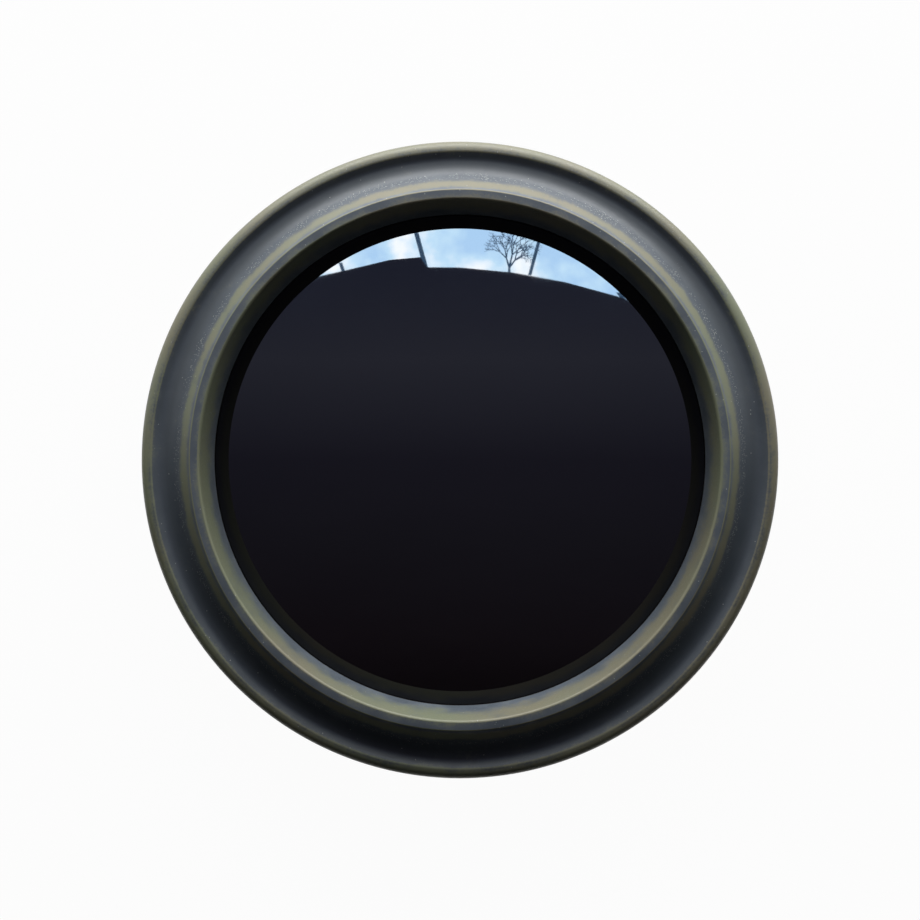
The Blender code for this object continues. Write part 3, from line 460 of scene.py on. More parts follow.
def lidOutline(shape):
    # from the inner wall over ridge, slope, trough and lip, down the skirt and back along the underside
    top = lidHigh.z
    crestStart = shape["viewR"] + shape["innerRound"]
    crestEnd = crestStart + shape["crest"]
    points = [(shape["viewR"], top - shape["rubbedWall"])]
    points += arc(crestStart, top - shape["innerRound"], shape["innerRound"], 180, 90, 10)
    points += arc(crestEnd, top - shape["outerRound"], shape["outerRound"], 90, 90 - shape["slope"], 8)
    shoulderR, shoulderZ = points[-1]
    slope = math.radians(shape["slope"])
    hollowZ = troughFloor + shape["hollowR"] * (1 - math.cos(slope))
    hollowStart = shoulderR + (shoulderZ - hollowZ) / math.tan(slope)
    for step in range(1, 6):
        share = step / 6
        points.append((shoulderR + (hollowStart - shoulderR) * share,
                       shoulderZ + (hollowZ - shoulderZ) * share))
    floorStart = hollowStart + shape["hollowR"] * math.sin(slope)
    points += arc(floorStart, troughFloor + shape["hollowR"], shape["hollowR"],
                  270 - shape["slope"], 270, 10)
    floorEnd = floorStart + shape["flat"]
    points += arc(floorEnd, troughFloor + shape["riseR"], shape["riseR"], 270, 270 + shape["rise"], 6)
    riseR, riseZ = points[-1]
    rise = math.radians(shape["rise"])
    lipTop = troughFloor + shape["lipHeight"]
    roundZ = lipTop - shape["lipInner"] * (1 - math.cos(rise))
    lipCrest = riseR + (roundZ - riseZ) / math.tan(rise) + shape["lipInner"] * math.sin(rise)
    points += arc(lipCrest, lipTop - shape["lipInner"], shape["lipInner"], 90 + shape["rise"], 90, 5)
    points += arc(lipCrest, lipTop - shape["lipOuter"], shape["lipOuter"], 90, 0, 10)[1:]
    outer = points[-1][0]
    skirtBottom = flangeTop + shape["skirtLift"]
    skirtInner = outer - shape["skirtWall"]
    points += [(outer, skirtBottom + 4 * mm)]
    points += arc(outer - 0.8 * mm, skirtBottom + 0.8 * mm, 0.8 * mm, 0, -90, 4)
    points += [(skirtInner + nick, skirtBottom), (skirtInner, skirtBottom + nick)]
    points += arc(skirtInner - 1.5 * mm, lidUnderside - 1.5 * mm, 1.5 * mm, 0, 90, 5)
    ribInner = gasketHigh.x + 0.5 * mm
    ribOuter = ribInner + shape["ribWall"]
    ribBottom = lidUnderside - shape["ribDepth"]
    points += [(ribOuter, lidUnderside), (ribOuter, ribBottom + nick),
               (ribOuter - nick, ribBottom), (ribInner + nick, ribBottom),
               (ribInner, ribBottom + nick), (ribInner, lidUnderside), (plugR, lidUnderside)]
    points += [(plugR, lensLow.z + 0.8 * mm), (plugR - 0.8 * mm, lensLow.z)]
    ledge = lensSealHigh.z + seatGap / 2
    points += [(rebateR, lensLow.z), (rebateR, ledge), (shape["viewR"], ledge)]
    return points, ribOuter


def addKnuckle(bm, startX, endX, reachZ, radius):
    # a hinge barrel along X whose straight flanks run up or down to reachZ
    way = 180 if reachZ > hingeZ else 0
    outline = arc(hingeY, hingeZ, radius, way, way + 180, 24)
    outline = [(outline[0][0], reachZ)] + outline + [(outline[-1][0], reachZ)]
    verts = extrudeOutline(bm, outline, startX, endX)
    turn = Matrix(((0, 0, 1, 0), (1, 0, 0, 0), (0, 1, 0, 0), (0, 0, 0, 1)))
    bmesh.ops.transform(bm, matrix=turn, verts=verts)


def addHingeRod(bm, radius, startX, endX, segments):
    addRod(bm, radius, (startX, hingeY, hingeZ), (endX, hingeY, hingeZ), segments)


def makeLidRing(shape):
    outline, ribOuter = lidOutline(shape)
    ring = bmesh.new()
    spinOutline(ring, outline, shape["steps"])
    notch = bmesh.new()
    addBlock(notch, (-shape["notch"], ribOuter + seatGap, flangeBottom),
             (shape["notch"], lidHigh.y + cutOver, lidUnderside + seatGap))
    half = shape["knuckleWidth"] / 2
    pocket = bmesh.new()
    pocketX = shape["knuckleX"] + half + shape["lugWidth"] + cutOver
    addHingeRod(pocket, shape["knuckleR"] + 0.5 * mm, -pocketX, pocketX, 64)
    steps = [(cut, notch), (cut, pocket)]
    bores = bmesh.new()
    for _, sign in sides:
        centre = sign * shape["knuckleX"]
        knuckle = bmesh.new()
        addKnuckle(knuckle, centre - half, centre + half, lidUnderside + 1.6 * mm, shape["knuckleR"])
        steps.append((join, knuckle))
        addHingeRod(bores, shape["bushBore"], centre - half - 1 * mm, centre + half + 1 * mm, 40)
    steps.append((cut, bores))
    holes = bmesh.new()
    addUprights(holes, shape["tapR"], lensScrewR, lensScrewAngles, lensLow.z - cutOver,
                lensLow.z + shape["tapDepth"], 24)
    steps.append((cut, holes))
    piece = finishPiece("lidRing", carve(ring, steps), "bronze", "lid", "lid_ring")
    for name, bands in shape["bands"].items():
        markBands(piece.data, name, bands, troughFloor - 1 * mm)


makeLidRing(lidShape)
print("stage 3: lid ring turned")

lensShape = {"edge": 0.5 * mm, "support": 0.3 * mm, "steps": 256}


def makeLens(shape):
    edge = shape["edge"]
    radius = lensHigh.x
    flat = radius - edge - shape["support"]
    outline = [(0, lensHigh.z), (flat, lensHigh.z)]
    outline += arc(radius - edge, lensHigh.z - edge, edge, 90, 0, 4)
    outline += arc(radius - edge, lensLow.z + edge, edge, 0, -90, 4)
    outline += [(flat, lensLow.z), (0, lensLow.z)]
    turnPiece("lensDisc", outline, shape["steps"], "acrylic", "lid", "lens")
    low, high = lensSealLow.z, lensSealHigh.z
    bulge = (high - low) / 2
    outline = arc(lidShape["viewR"] + bulge, low + bulge, bulge, 90, 270, 6)
    outline += [(lensSealHigh.x, low), (lensSealHigh.x, high)]
    turnPiece("lensSeal", outline, shape["steps"], "rubber", "lid", "lens_seal")


makeLens(lensShape)
print("stage 4: lens seated")

screwSizes = ("headR", "cone", "shankR", "length", "tip", "pitch", "cross")
screwShapes = {kind: dict(zip(screwSizes, sizes)) for kind, sizes in {
    "deck": (4.0, 2.3, 2.0, 24.0, 5.0, 1.8, 2.5),
    "trim": (3.6, 2.0, 1.8, 16.0, 4.0, 1.6, 2.2),
    "lens": (2.5, 1.3, 1.35, 11.0, 0.5, 0.5, 1.5),
    "keeper": (2.3, 1.1, 1.25, 5.2, 0.4, 0.5, 1.4),
}.items()}  # in mm; cross is the width of the cross recess
screwSink = 0.2
screwSectors = 16
plateHole = 6  # how deep a screw's cutter goes, in mm


def screwBody(shape):
    # a countersunk screw pointing down from height 0, with a helical thread and a cross recess
    neck = -screwSink - shape["cone"]
    end = -shape["length"] - screwSink
    outer, pitch = shape["shankR"], shape["pitch"]
    core = outer - 0.3 * pitch
    rows = [(shape["headR"] - 0.12, -screwSink), (shape["headR"], -screwSink - 0.15), (outer, neck)]
    grid = [[row] * screwSectors for row in rows]
    count = max(int((neck - end) / (pitch / 4)), 8)
    for step in range(1, count + 1):
        height = neck + (end - neck) * step / count
        taper = min((height - end) / shape["tip"], 1) ** 0.7 if shape["tip"] > 1 else 1
        row = []
        for sector in range(screwSectors):
            phase = (height / pitch - sector / screwSectors) % 1
            crest = max(1 - abs(2 * phase - 1) * 1.7, 0)
            row.append((max((core + (outer - core) * crest) * taper, 0.12), height))
        grid.append(row)
    bm = bmesh.new()
    rings = []
    for row in grid:
        points = [onCircle(radius, 360 * sector / screwSectors, height)
                  for sector, (radius, height) in enumerate(row)]
        rings.append([bm.verts.new(point * mm) for point in points])
    for upper, lower in zip(rings, rings[1:]):
        for sector in range(screwSectors):
            after = (sector + 1) % screwSectors
            bm.faces.new([upper[sector], lower[sector], lower[after], upper[after]])
    bm.faces.new(rings[0])
    bm.faces.new(list(reversed(rings[-1])))
    steps = []
    reach, web = shape["cross"] / 2 * mm, 0.32 * mm
    for long, wide in ((reach, web), (web, reach)):
        slot = bmesh.new()
        addBlock(slot, (-long, -wide, -(screwSink + 0.55 * shape["cross"]) * mm), (long, wide, 1 * mm))
        steps.append((cut, slot))
    return carve(bm, steps)


def driveScrews(kind, label, nodes, body, places):
    # one piece per screw, modelled where it sits
    template = screwBody(screwShapes[kind])
    for index, place in enumerate(places):
        bm = template.copy()
        moveBy(bm, place @ turnBy(37 * index))
        finishPiece(f"{label}{index + 1}", bm, "steel", body, f"{nodes}_{index + 1}", 40)
    template.free()


def screwHoles(bm, kind, depth, places):
    # countersunk cutters that start above the plate's face
    shape = screwShapes[kind]
    slant = (shape["headR"] - shape["shankR"]) / shape["cone"]
    headR, shankR = shape["headR"] + 0.3, shape["shankR"] + 0.3
    outline = [(0, 2), (headR + slant * (2 + screwSink), 2), (shankR, -screwSink - shape["cone"]),
               (shankR, -depth), (0, -depth)]
    scrap = bpy.data.meshes.new("scrap")
    for place in places:
        one = bmesh.new()
        spinOutline(one, [(r * mm, z * mm) for r, z in outline], 32)
        moveBy(one, place)
        one.to_mesh(scrap)
        one.free()
        bm.from_mesh(scrap)
    bpy.data.meshes.remove(scrap)


baseShape = {
    "round": 1.2 * mm,
    "lugInner": 15.3 * mm,
    "lugOuter": 29.0 * mm,
    "pinBore": 2.15 * mm,
    "keeperLift": 2.4 * mm,
    "keeperHole": 9,
    "screwClear": 2.3 * mm,
    "steps": 192,
}
keeperShape = {
    "outer": 130.42 * mm,
    "plate": 3.4 * mm,
    "bite": 3.6 * mm,
    "top": 18.5 * mm,
    "bottom": 6.0 * mm,
    "ledge": 3.0 * mm,
    "half": 20.0 * mm,
    "ledgeHalf": 10.2 * mm,
    "spread": 15.4 * mm,
    "edge": 0.35 * mm,
}


def keeperScrewPlaces(heading):
    face = keeperShape["outer"] - keeperShape["plate"]
    height = (keeperShape["top"] + keeperShape["bottom"]) / 2
    spots = [Matrix.Translation((face, sign * keeperShape["spread"], height)) for _, sign in sides]
    return [turnBy(heading) @ spot @ turnBy(-90, "Y") for spot in spots]


def cutChord(low, high):
    # the flat that clears the hinge
    chord = bmesh.new()
    notch = lidShape["notch"]
    addBlock(chord, (-notch, chordY, low), (notch, lidHigh.y + cutOver, high))
    return chord


def makeBaseFrame(shape):
    edge = shape["round"]
    outline = arc(coamingInner + edge, coamingTop - edge, edge, 180, 90, 6)
    outline += arc(coamingOuter - edge, coamingTop - edge, edge, 90, 0, 6)
    outline += arc(coamingOuter + edge, flangeTop + edge, edge, 180, 270, 6)
    outline += arc(flangeR - edge, flangeTop - edge, edge, 90, 0, 6)
    outline += arc(flangeR - 0.4 * mm, flangeBottom + 0.4 * mm, 0.4 * mm, 0, -90, 2)
    outline += [(coamingOuter, flangeBottom), (coamingOuter, baseLow.z + 0.6 * mm),
                (coamingOuter - 0.6 * mm, baseLow.z), (coamingInner + 0.6 * mm, baseLow.z),
                (coamingInner, baseLow.z + 0.6 * mm)]
    frameRing = bmesh.new()
    spinOutline(frameRing, outline, shape["steps"])
    steps = []
    lugWidth, lugR = lidShape["lugWidth"], lidShape["knuckleR"]
    pockets, bores, holes = bmesh.new(), bmesh.new(), bmesh.new()
    half = lidShape["knuckleWidth"] / 2 + seatGap / 2
    for _, sign in sides:
        for start in (shape["lugInner"], shape["lugOuter"]):
            lug = bmesh.new()
            ends = sorted((sign * start, sign * (start + lugWidth)))
            addKnuckle(lug, *ends, flangeBottom + 2 * mm, lugR)
            steps.append((join, lug))
        centre = sign * lidShape["knuckleX"]
        addHingeRod(pockets, lugR + 0.5 * mm, centre - half, centre + half, 48)
        ends = sorted((sign * (shape["lugInner"] - cutOver), sign * (shape["lugOuter"] + lugWidth + cutOver)))
        addHingeRod(bores, shape["pinBore"], *ends, 32)
    steps.append((cut, cutChord(flangeBottom - cutOver, flangeTop + seatGap)))
    places = [Matrix.Translation(onCircle(deckScrewR, angle, flangeTop)) for angle in deckScrewAngles]
    screwHoles(holes, "deck", plateHole, places)
    lift = Matrix.Translation((0, 0, shape["keeperLift"]))
    for heading in dogHeadings.values():
        lifted = [place @ lift for place in keeperScrewPlaces(heading)]
        screwHoles(holes, "keeper", shape["keeperHole"], lifted)
    steps += [(cut, pockets), (cut, bores), (cut, holes)]
    finishPiece("baseFrame", carve(frameRing, steps), "bronze", "frame", "base_frame")
    driveScrews("deck", "deckScrew", "deck_screw", "frame", places)


def makeDeckSeal(shape):
    low, high, edge = sealLow.z, sealHigh.z, 0.2 * mm
    outline = [(spigotInner + edge, low), (spigotInner, low + edge), (spigotInner, high - edge),
               (spigotInner + edge, high)]
    for rib in (0.28, 0.72):
        middle = spigotInner + (flangeR - spigotInner) * rib
        outline += arc(middle, high - 0.15 * mm, 0.4 * mm, 158, 22, 6)
    outline += [(flangeR - edge, high), (flangeR, high - edge), (flangeR, low + edge), (flangeR - edge, low)]
    holes = bmesh.new()
    addUprights(holes, shape["screwClear"], deckScrewR, deckScrewAngles, low - cutOver, high + cutOver, 24)
    turnPiece("deckSeal", list(reversed(outline)), shape["steps"], "rubber", "frame", "deck_seal",
              cuts=[(cut, cutChord(low - cutOver, flangeBottom)), (cut, holes)])


def makeTrimRing(shape):
    outline = [(spigotInner, trimHigh.z), (flangeR, trimHigh.z)]
    outline += arc(flangeR - 1.5 * mm, 1.5 * mm, 1.5 * mm, 0, -90, 8)
    outline += arc(spigotInner + 0.5 * mm, 0.5 * mm, 0.5 * mm, 270, 180, 4)
    places = [Matrix.Translation(onCircle(trimScrewR, angle)) @ faceDown for angle in trimScrewAngles]
    holes = bmesh.new()
    screwHoles(holes, "trim", plateHole, places)
    turnPiece("trimRing", outline, shape["steps"], "bronze", "frame", "trim_ring", cuts=[(cut, holes)])
    driveScrews("trim", "trimScrew", "trim_screw", "frame", places)


makeBaseFrame(baseShape)
makeDeckSeal(baseShape)
makeTrimRing(baseShape)
print("stage 5: base frame, deck seal and trim ring made")

gasketShape = {"width": 5.5 * mm, "belly": 1.3 * mm, "groove": 0.35 * mm, "steps": 192}
retainerShape = {
    "inner": 115.0 * mm,
    "edge": 0.8 * mm,
    "padR": 11.0 * mm,
    "spindleHole": 2.65 * mm,
    "steps": 192,
}


def makeLidGasket(shape):
    # a bulb gasket: flat back, soft belly with a shallow groove
    inner, outer = gasketHigh.x - shape["width"], gasketHigh.x
    low, high = gasketLow.z, gasketHigh.z
    belly, bottom = shape["belly"], gasketLow.z + shape["groove"]
    middle = (inner + outer) / 2
    outline = [(inner + nick, high), (inner, high - nick), (inner, low + belly)]
    outline += arc(inner + belly, low + belly, belly, 180, 270, 6)[1:]
    outline += [(middle - 0.7 * mm, low), (middle - nick, bottom), (middle + nick, bottom),
                (middle + 0.7 * mm, low)]
    outline += arc(outer - belly, low + belly, belly, 270, 360, 6)
    outline += [(outer, high - nick), (outer - nick, high)]
    turnPiece("lidGasket", outline, shape["steps"], "rubber", "lid", "lid_gasket")


def makeRetainer(shape):
    inner, edge = shape["inner"], shape["edge"]
    low, high = retainerLow.z, retainerHigh.z
    outline = [(inner, high), (plugR - nick, high), (plugR, high - nick)]
    outline += arc(plugR - edge, low + edge, edge, 0, -90, 5)
    outline += arc(inner + edge, low + edge, edge, 270, 180, 5)
    joins = []
    places = [Matrix.Translation(onCircle(lensScrewR, angle, low)) @ faceDown for angle in lensScrewAngles]
    holes = bmesh.new()
    screwHoles(holes, "lens", plateHole, places)
    for heading in dogHeadings.values():
        pad = bmesh.new()
        padR = shape["padR"]
        padOutline = [(0, high), (padR, high)] + arc(padR - edge, low + edge, edge, 0, -90, 5) + [(0, low)]
        spinOutline(pad, padOutline, 72)
        moveBy(pad, Matrix.Translation(onCircle(dogPivotR, heading)))
        joins.append((join, pad))
    addUprights(holes, shape["spindleHole"], dogPivotR, dogHeadings.values(), low - cutOver,
                high + cutOver, 32)
    joins.append((cut, holes))
    turnPiece("lensRetainer", outline, shape["steps"], "bronze", "lid", "lens_retainer", cuts=joins)
    driveScrews("lens", "retainerScrew", "retainer_screw", "lid", places)


makeLidGasket(gasketShape)
makeRetainer(retainerShape)
print("stage 6: gasket and lens retainer made")


def makeKeeper(side, heading, shape):
    face = shape["outer"] - shape["plate"]
    turn = turnBy(heading)
    halfAngle = math.degrees(math.asin(shape["half"] / shape["outer"]))
    plate = bmesh.new()
    outline = arc(0, 0, shape["outer"], -halfAngle, halfAngle, 16)
    outline += [(face, shape["half"]), (face, -shape["half"])]
    extrudeOutline(plate, outline, shape["bottom"], shape["top"])
    shelf = bmesh.new()
    addBlock(shelf, (face - shape["bite"], -shape["ledgeHalf"], shape["top"] - shape["ledge"]),
             (face + 1.1 * mm, shape["ledgeHalf"], shape["top"] - seatGap))
    for bm in (plate, shelf):
        bmesh.ops.recalc_face_normals(bm, faces=bm.faces)
        sharp = [edge for edge in bm.edges if edge.calc_face_angle(0) > 1.0]
        roundEdges(bm, sharp, shape["edge"], 3)
        moveBy(bm, turn)
    holes = bmesh.new()
    places = keeperScrewPlaces(heading)
    screwHoles(holes, "keeper", plateHole, places)
    keeper = carve(plate, [(join, shelf), (cut, holes)])
    finishPiece("keeper" + side.title(), keeper, "steel", "frame", "keeper_" + side)
    driveScrews("keeper", "keeperScrew" + side.title(), "keeper_screw_" + side, "frame", places)


for side, heading in dogHeadings.items():
    makeKeeper(side, heading, keeperShape)
print("stage 7: keepers made")

hingeShape = {
    "pinR": 2.0 * mm,
    "headR": 3.2 * mm,
    "head": 1.2 * mm,
    "grooveR": 1.6 * mm,
    "clipR": 3.6 * mm,
    "clip": 0.7 * mm,
    "mouth": 35.0,
    "relief": 1.35,
    "bushWall": 0.9 * mm,
}


def makeHinge(side, sign, shape):
    place = Matrix.Translation((0, hingeY, hingeZ)) @ turnBy(sign * 90, "Y")
    label = side.title()
    pinR, grooveR, headR = shape["pinR"], shape["grooveR"], shape["headR"]
    headEnd = baseShape["lugInner"] - seatGap
    headStart = headEnd - shape["head"]
    clipStart = baseShape["lugOuter"] + lidShape["lugWidth"] + seatGap
    clipEnd = clipStart + shape["clip"]
    grooveStart, grooveEnd = clipStart - runGap, clipEnd + runGap
    outline = [(0, headStart)] + arc(headR - 0.4 * mm, headStart + 0.4 * mm, 0.4 * mm, -90, 0, 4)
    outline += [(headR, headEnd), (pinR, headEnd), (pinR, grooveStart), (grooveR, grooveStart),
                (grooveR, grooveEnd), (pinR, grooveEnd), (pinR, clipEnd + 0.6 * mm),
                (grooveR, clipEnd + 1 * mm), (0, clipEnd + 1 * mm)]
    turnPiece("hingePin" + label, outline, 40, "steel", "frame", "hinge_pin_" + side, place)

    inner = pinR + runGap
    outer = inner + shape["bushWall"]
    half = lidShape["knuckleWidth"] / 2
    edge = 0.2 * mm
    middle = lidShape["knuckleX"]
    outline = [(inner, -half + edge), (inner + edge, -half), (outer - edge, -half), (outer, -half + edge),
               (outer, half - edge), (outer - edge, half), (inner + edge, half), (inner, half - edge)]
    turnPiece("hingeBush" + label, [(r, z + middle) for r, z in outline], 40, "acetal", "lid",
              "hinge_bush_" + side, place)

    # an open clip whose three small reliefs leave narrow grips on the groove
    clip = bmesh.new()
    mouth = shape["mouth"]
    outline = arc(0, 0, shape["clipR"], mouth, 360 - mouth, 40)
    for index, (x, y) in enumerate(arc(0, 0, grooveR + runGap, 360 - mouth, mouth, 60)):
        grow = shape["relief"] if 8 < index % 20 < 12 else 1
        outline.append((x * grow, y * grow))
    extrudeOutline(clip, outline, clipStart, clipEnd)
    moveBy(clip, place)
    finishPiece("hingeClip" + label, clip, "steel", "frame", "hinge_clip_" + side)


for side, sign in sides:
    makeHinge(side, sign, hingeShape)
print("stage 8: hinge made")

dogShape = {
    "hubR": 8.0 * mm,
    "hubTop": 15.2 * mm,
    "hubBottom": 7.7 * mm,
    "hubBore": 4.35 * mm,
    "spindleBore": 3.15 * mm,
    "arm": 42.0 * mm,
    "armThick": 6.0 * mm,
    "armRoot": 5.0 * mm,
    "armWaist": 3.6 * mm,
    "armTip": 5.0 * mm,
    "armEdge": 1.5 * mm,
    "tongueHalf": 4.0 * mm,
    "tongueReach": 12.2 * mm,
    "tongueThick": 4.0 * mm,
    "tongueStep": 0.2 * mm,
    "ramp": 1.3 * mm,
    "flangeR": 7.0 * mm,
    "washerR": 6.5 * mm,
    "washer": 0.8 * mm,
    "headR": 5.5 * mm,
    "head": 3.0 * mm,
    "hexR": 2.3 * mm,
    "hexDepth": 2.0 * mm,
    "spindleR": 3.0 * mm,
    "threadR": 2.5 * mm,
    "threadDepth": 0.3 * mm,
    "threads": 14,
}


def makeLever(side, sign, shape, place):
    low, high = shape["hubBottom"], shape["hubTop"]
    hubR, bore, edge = shape["hubR"], shape["hubBore"], 0.8 * mm
    outline = [(bore + nick, low)] + arc(hubR - edge, low + edge, edge, -90, 0, 5)
    outline += arc(hubR - 0.4 * mm, high - 0.4 * mm, 0.4 * mm, 0, 90, 3)
    outline += [(bore + nick, high), (bore, high - nick), (bore, low + nick)]
    hub = bmesh.new()
    spinOutline(hub, outline, 96)
    root = -(bore + hubR) / 2
    length, tip = shape["arm"], shape["armTip"]
    flank = []
    for step in range(25):
        along = step / 24
        width = shape["armRoot"] + (tip - shape["armRoot"]) * along
        waist = 4 * along * (1 - along) * ((shape["armRoot"] + tip) / 2 - shape["armWaist"])
        flank.append((root + (-length - root) * along, width - waist))
    outline = flank + arc(-length, 0, tip, 90, 270, 28)[1:-1] + [(x, -y) for x, y in reversed(flank)]
    arm = bmesh.new()
    extrudeOutline(arm, outline, low, low + shape["armThick"])
    bmesh.ops.recalc_face_normals(arm, faces=arm.faces)
    rims = [e for e in arm.edges if abs(e.verts[0].co.z - e.verts[1].co.z) < 1e-7 and len(e.link_faces) == 2
            and e.calc_face_angle(0) > 1]
    roundEdges(arm, rims, shape["armEdge"], 4)
    tongue = bmesh.new()
    half, reach = shape["tongueHalf"], shape["tongueReach"]
    outline = [(-half, root)] + arc(0, -(reach - half), half, 180, 360, 24) + [(half, root)]
    top = high - shape["tongueStep"]
    for vert in extrudeOutline(tongue, outline, top - shape["tongueThick"], top):
        if vert.co.z > top - shape["tongueThick"] / 2 and vert.co.x > 0:
            vert.co.z -= shape["ramp"] * vert.co.x / half
    moveBy(tongue, Matrix.Diagonal((1, sign, 1, 1)))
    hole = bmesh.new()
    addRod(hole, bore, (0, 0, low - 1 * mm), (0, 0, high + 1 * mm), 96)
    lever = carve(hub, [(join, arm), (join, tongue), (cut, hole)])
    moveBy(lever, place)
    finishPiece("dogLever" + side.title(), lever, "bronze", "dog_" + side, "dog_lever_" + side)


def makeDogFittings(side, shape, place):
    label = side.title()
    low, high = shape["hubBottom"], shape["hubTop"]
    bore, edge, fine = shape["spindleBore"], 0.25 * mm, 0.1 * mm
    outer = shape["hubBore"] - runGap
    flangeLow, flangeHigh, radius = high + seatGap, retainerLow.z - seatGap, shape["flangeR"]
    outline = [(bore, flangeHigh), (radius - edge, flangeHigh), (radius, flangeHigh - edge),
               (radius, flangeLow + edge), (radius - edge, flangeLow), (outer, flangeLow),
               (outer, low + edge), (outer - edge, low), (bore, low)]
    turnPiece("dogBush" + label, outline, 48, "acetal", "dog_" + side, "dog_bush_" + side, place)

    washerTop, radius = low - seatGap, shape["washerR"]
    washerLow = washerTop - shape["washer"]
    outline = [(bore, washerTop), (radius - fine, washerTop), (radius, washerTop - fine),
               (radius, washerLow + edge), (radius - edge, washerLow), (bore + fine, washerLow),
               (bore, washerLow + fine)]
    turnPiece("dogWasher" + label, outline, 48, "steel", "lid", "dog_washer_" + side, place)

    headTop = washerLow - seatGap
    headLow = headTop - shape["head"]
    shoulder = retainerLow.z - runGap
    threadTop = retainerHigh.z - seatGap
    threadR, spindleR, headR = shape["threadR"], shape["spindleR"], shape["headR"]
    depth = shape["threadDepth"]
    outline = [(0, threadTop), (threadR - 0.4 * mm, threadTop)]
    for step in range(shape["threads"]):
        height = threadTop - depth - (threadTop - depth - shoulder) * step / shape["threads"]
        outline.append((threadR - (depth if step % 2 else 0), height))
    outline += [(threadR - depth, shoulder), (spindleR, shoulder), (spindleR, headTop),
                (headR - 0.2 * mm, headTop), (headR, headTop - 0.2 * mm)]
    outline += arc(headR - 0.8 * mm, headLow + 0.8 * mm, 0.8 * mm, 0, -90, 5) + [(0, headLow)]
    socket = bmesh.new()
    corners = [onCircle(shape["hexR"], 60 * n) for n in range(6)]
    extrudeOutline(socket, [(c.x, c.y) for c in corners], headLow - 1 * mm, headLow + shape["hexDepth"])
    turnPiece("dogSpindle" + label, outline, 48, "steel", "lid", "dog_spindle_" + side, place,
              [(cut, socket)])


for side, sign in sides:
    heading = dogHeadings[side]
    place = Matrix.Translation(onCircle(dogPivotR, heading)) @ turnBy(heading)
    makeLever(side, sign, dogShape, place)
    makeDogFittings(side, dogShape, place)
print("stage 9: dogs made")

stageShape = {
    "floorHalf": 6.0,
    "floorDrop": 0.2 * mm,
    "floorWhite": 0.965,
    "cameraAbove": 400.0 * mm,  # camera height above the ridge, from the ridge's reflection in the lens
    "lens": 34.33,
    "cardHeight": 1.0,
    "ceilingHalf": 1.0,
    "ceilingNear": -0.62,
    "ceilingStops": [(-0.36, "#382a33"), (-0.28, "#564a58"), (-0.12, "#68657a"), (0.0, "#74728f"),
                     (0.16, "#a7abca"), (0.3, "#9199c4")],
    "roofEdge": 0.306,
    "roofTilt": -0.0513,
    "roofCurve": 0.526,
    "eave": [(-0.36, 0.258), (-0.235, 0.289), (-0.186, 0.300), (-0.112, 0.3176), (-0.063, 0.322),
             (-0.0535, 0.308), (-0.0535, 0.26), (-0.36, 0.19)],
    "poles": [((-0.0702, 0.364), (-0.0543, 0.306), 0.0075), ((0.1261, 0.3496), (0.1117, 0.296), 0.0055),
              ((-0.1916, 0.316), (-0.186, 0.300), 0.006), ((0.2538, 0.2682), (0.2634, 0.2554), 0.008)],
    "poleGlow": ("#3c5672", 18),
    "skyHalf": 0.28,
    "skySpan": (0.22, 0.4),
    "skyGlow": ("#bedef6", 26.5),
    "cloudStops": [(0.4, "#a9cdf0"), (0.52, "#bedef6"), (0.66, "#f2f8ff")],
    "tree": (0.079, 0.286),
    "trunk": (0.0225, 0.005),
    "treeForks": 5,
    "flagRadius": 0.3,
    "flagSpan": (176, 364),
    "flagHeight": 0.45,
    "windowPlace": (0.07, 1.3, 0.42),
    "windowAim": (0, 0, 0.05),
    "windowSize": (2.1, 0.8),
    "windowPower": 41,
    "fill": 0.035,
}


def seenRays(tree):
    # 1 for what the camera sees, straight, by reflection or through glass
    rays = addNode(tree, "LightPath")
    seen = addNode(tree, "Math", {0: (rays, "Is Camera Ray"), 1: (rays, "Is Glossy Ray")}, operation="ADD")
    return addNode(tree, "Math", {0: seen, 1: (rays, "Is Transmission Ray")}, operation="ADD", use_clamp=True)


def makeFloor(shape):
    # pale floor: white to the camera and in reflections, with a faint shadow; plain diffuse to all else
    material, tree, shader = newMaterial("paleFloor")
    setInputs(tree, shader, {"Base Color": hexColour("#e6e6e6"), "Roughness": 0.9, "Specular IOR Level": 0.0})
    glow = addNode(tree, "Emission", {"Color": (1, 1, 1, 1), "Strength": 1.0})
    blend = addNode(tree, "MixShader", {0: shape["floorWhite"], 1: shader, 2: glow})
    choice = addNode(tree, "MixShader", {0: seenRays(tree), 1: shader, 2: blend})
    # clear from below, so that the underside can be looked at
    clear = addNode(tree, "BsdfTransparent")
    geometry = addNode(tree, "NewGeometry")
    whole = addNode(tree, "MixShader", {0: (geometry, "Backfacing"), 1: choice, 2: clear})
    setInputs(tree, tree.nodes["Material Output"], {"Surface": whole})
    grid = bmesh.new()
    bmesh.ops.create_grid(grid, x_segments=1, y_segments=1, size=shape["floorHalf"],
                          matrix=Matrix.Translation((0, 0, -shape["floorDrop"])))
    floor = newObject("floor", grid)
    floor.data.materials.append(material)


def stageCard(card, colour, strength):
    # a card that only reflections see; returns its tree and its glow
    material = bpy.data.materials.new(card.name)
    material.use_nodes = True
    tree = material.node_tree
    tree.nodes.clear()
    glow = addNode(tree, "Emission", {"Color": hexColour(colour), "Strength": strength})
    addNode(tree, "OutputMaterial", {"Surface": glow})
    card.data.materials.append(material)
    card.visible_camera = False
    card.visible_diffuse = False
    card.visible_shadow = False
    card.visible_transmission = False
    return tree, glow


def makeCard(name, outline, height, colour, strength):
    # a level card from an (x, y) outline
    bm = bmesh.new()
    bm.faces.new([bm.verts.new((x, y, height)) for x, y in outline])
    card = newObject(name, bm)
    return card, *stageCard(card, colour, strength)


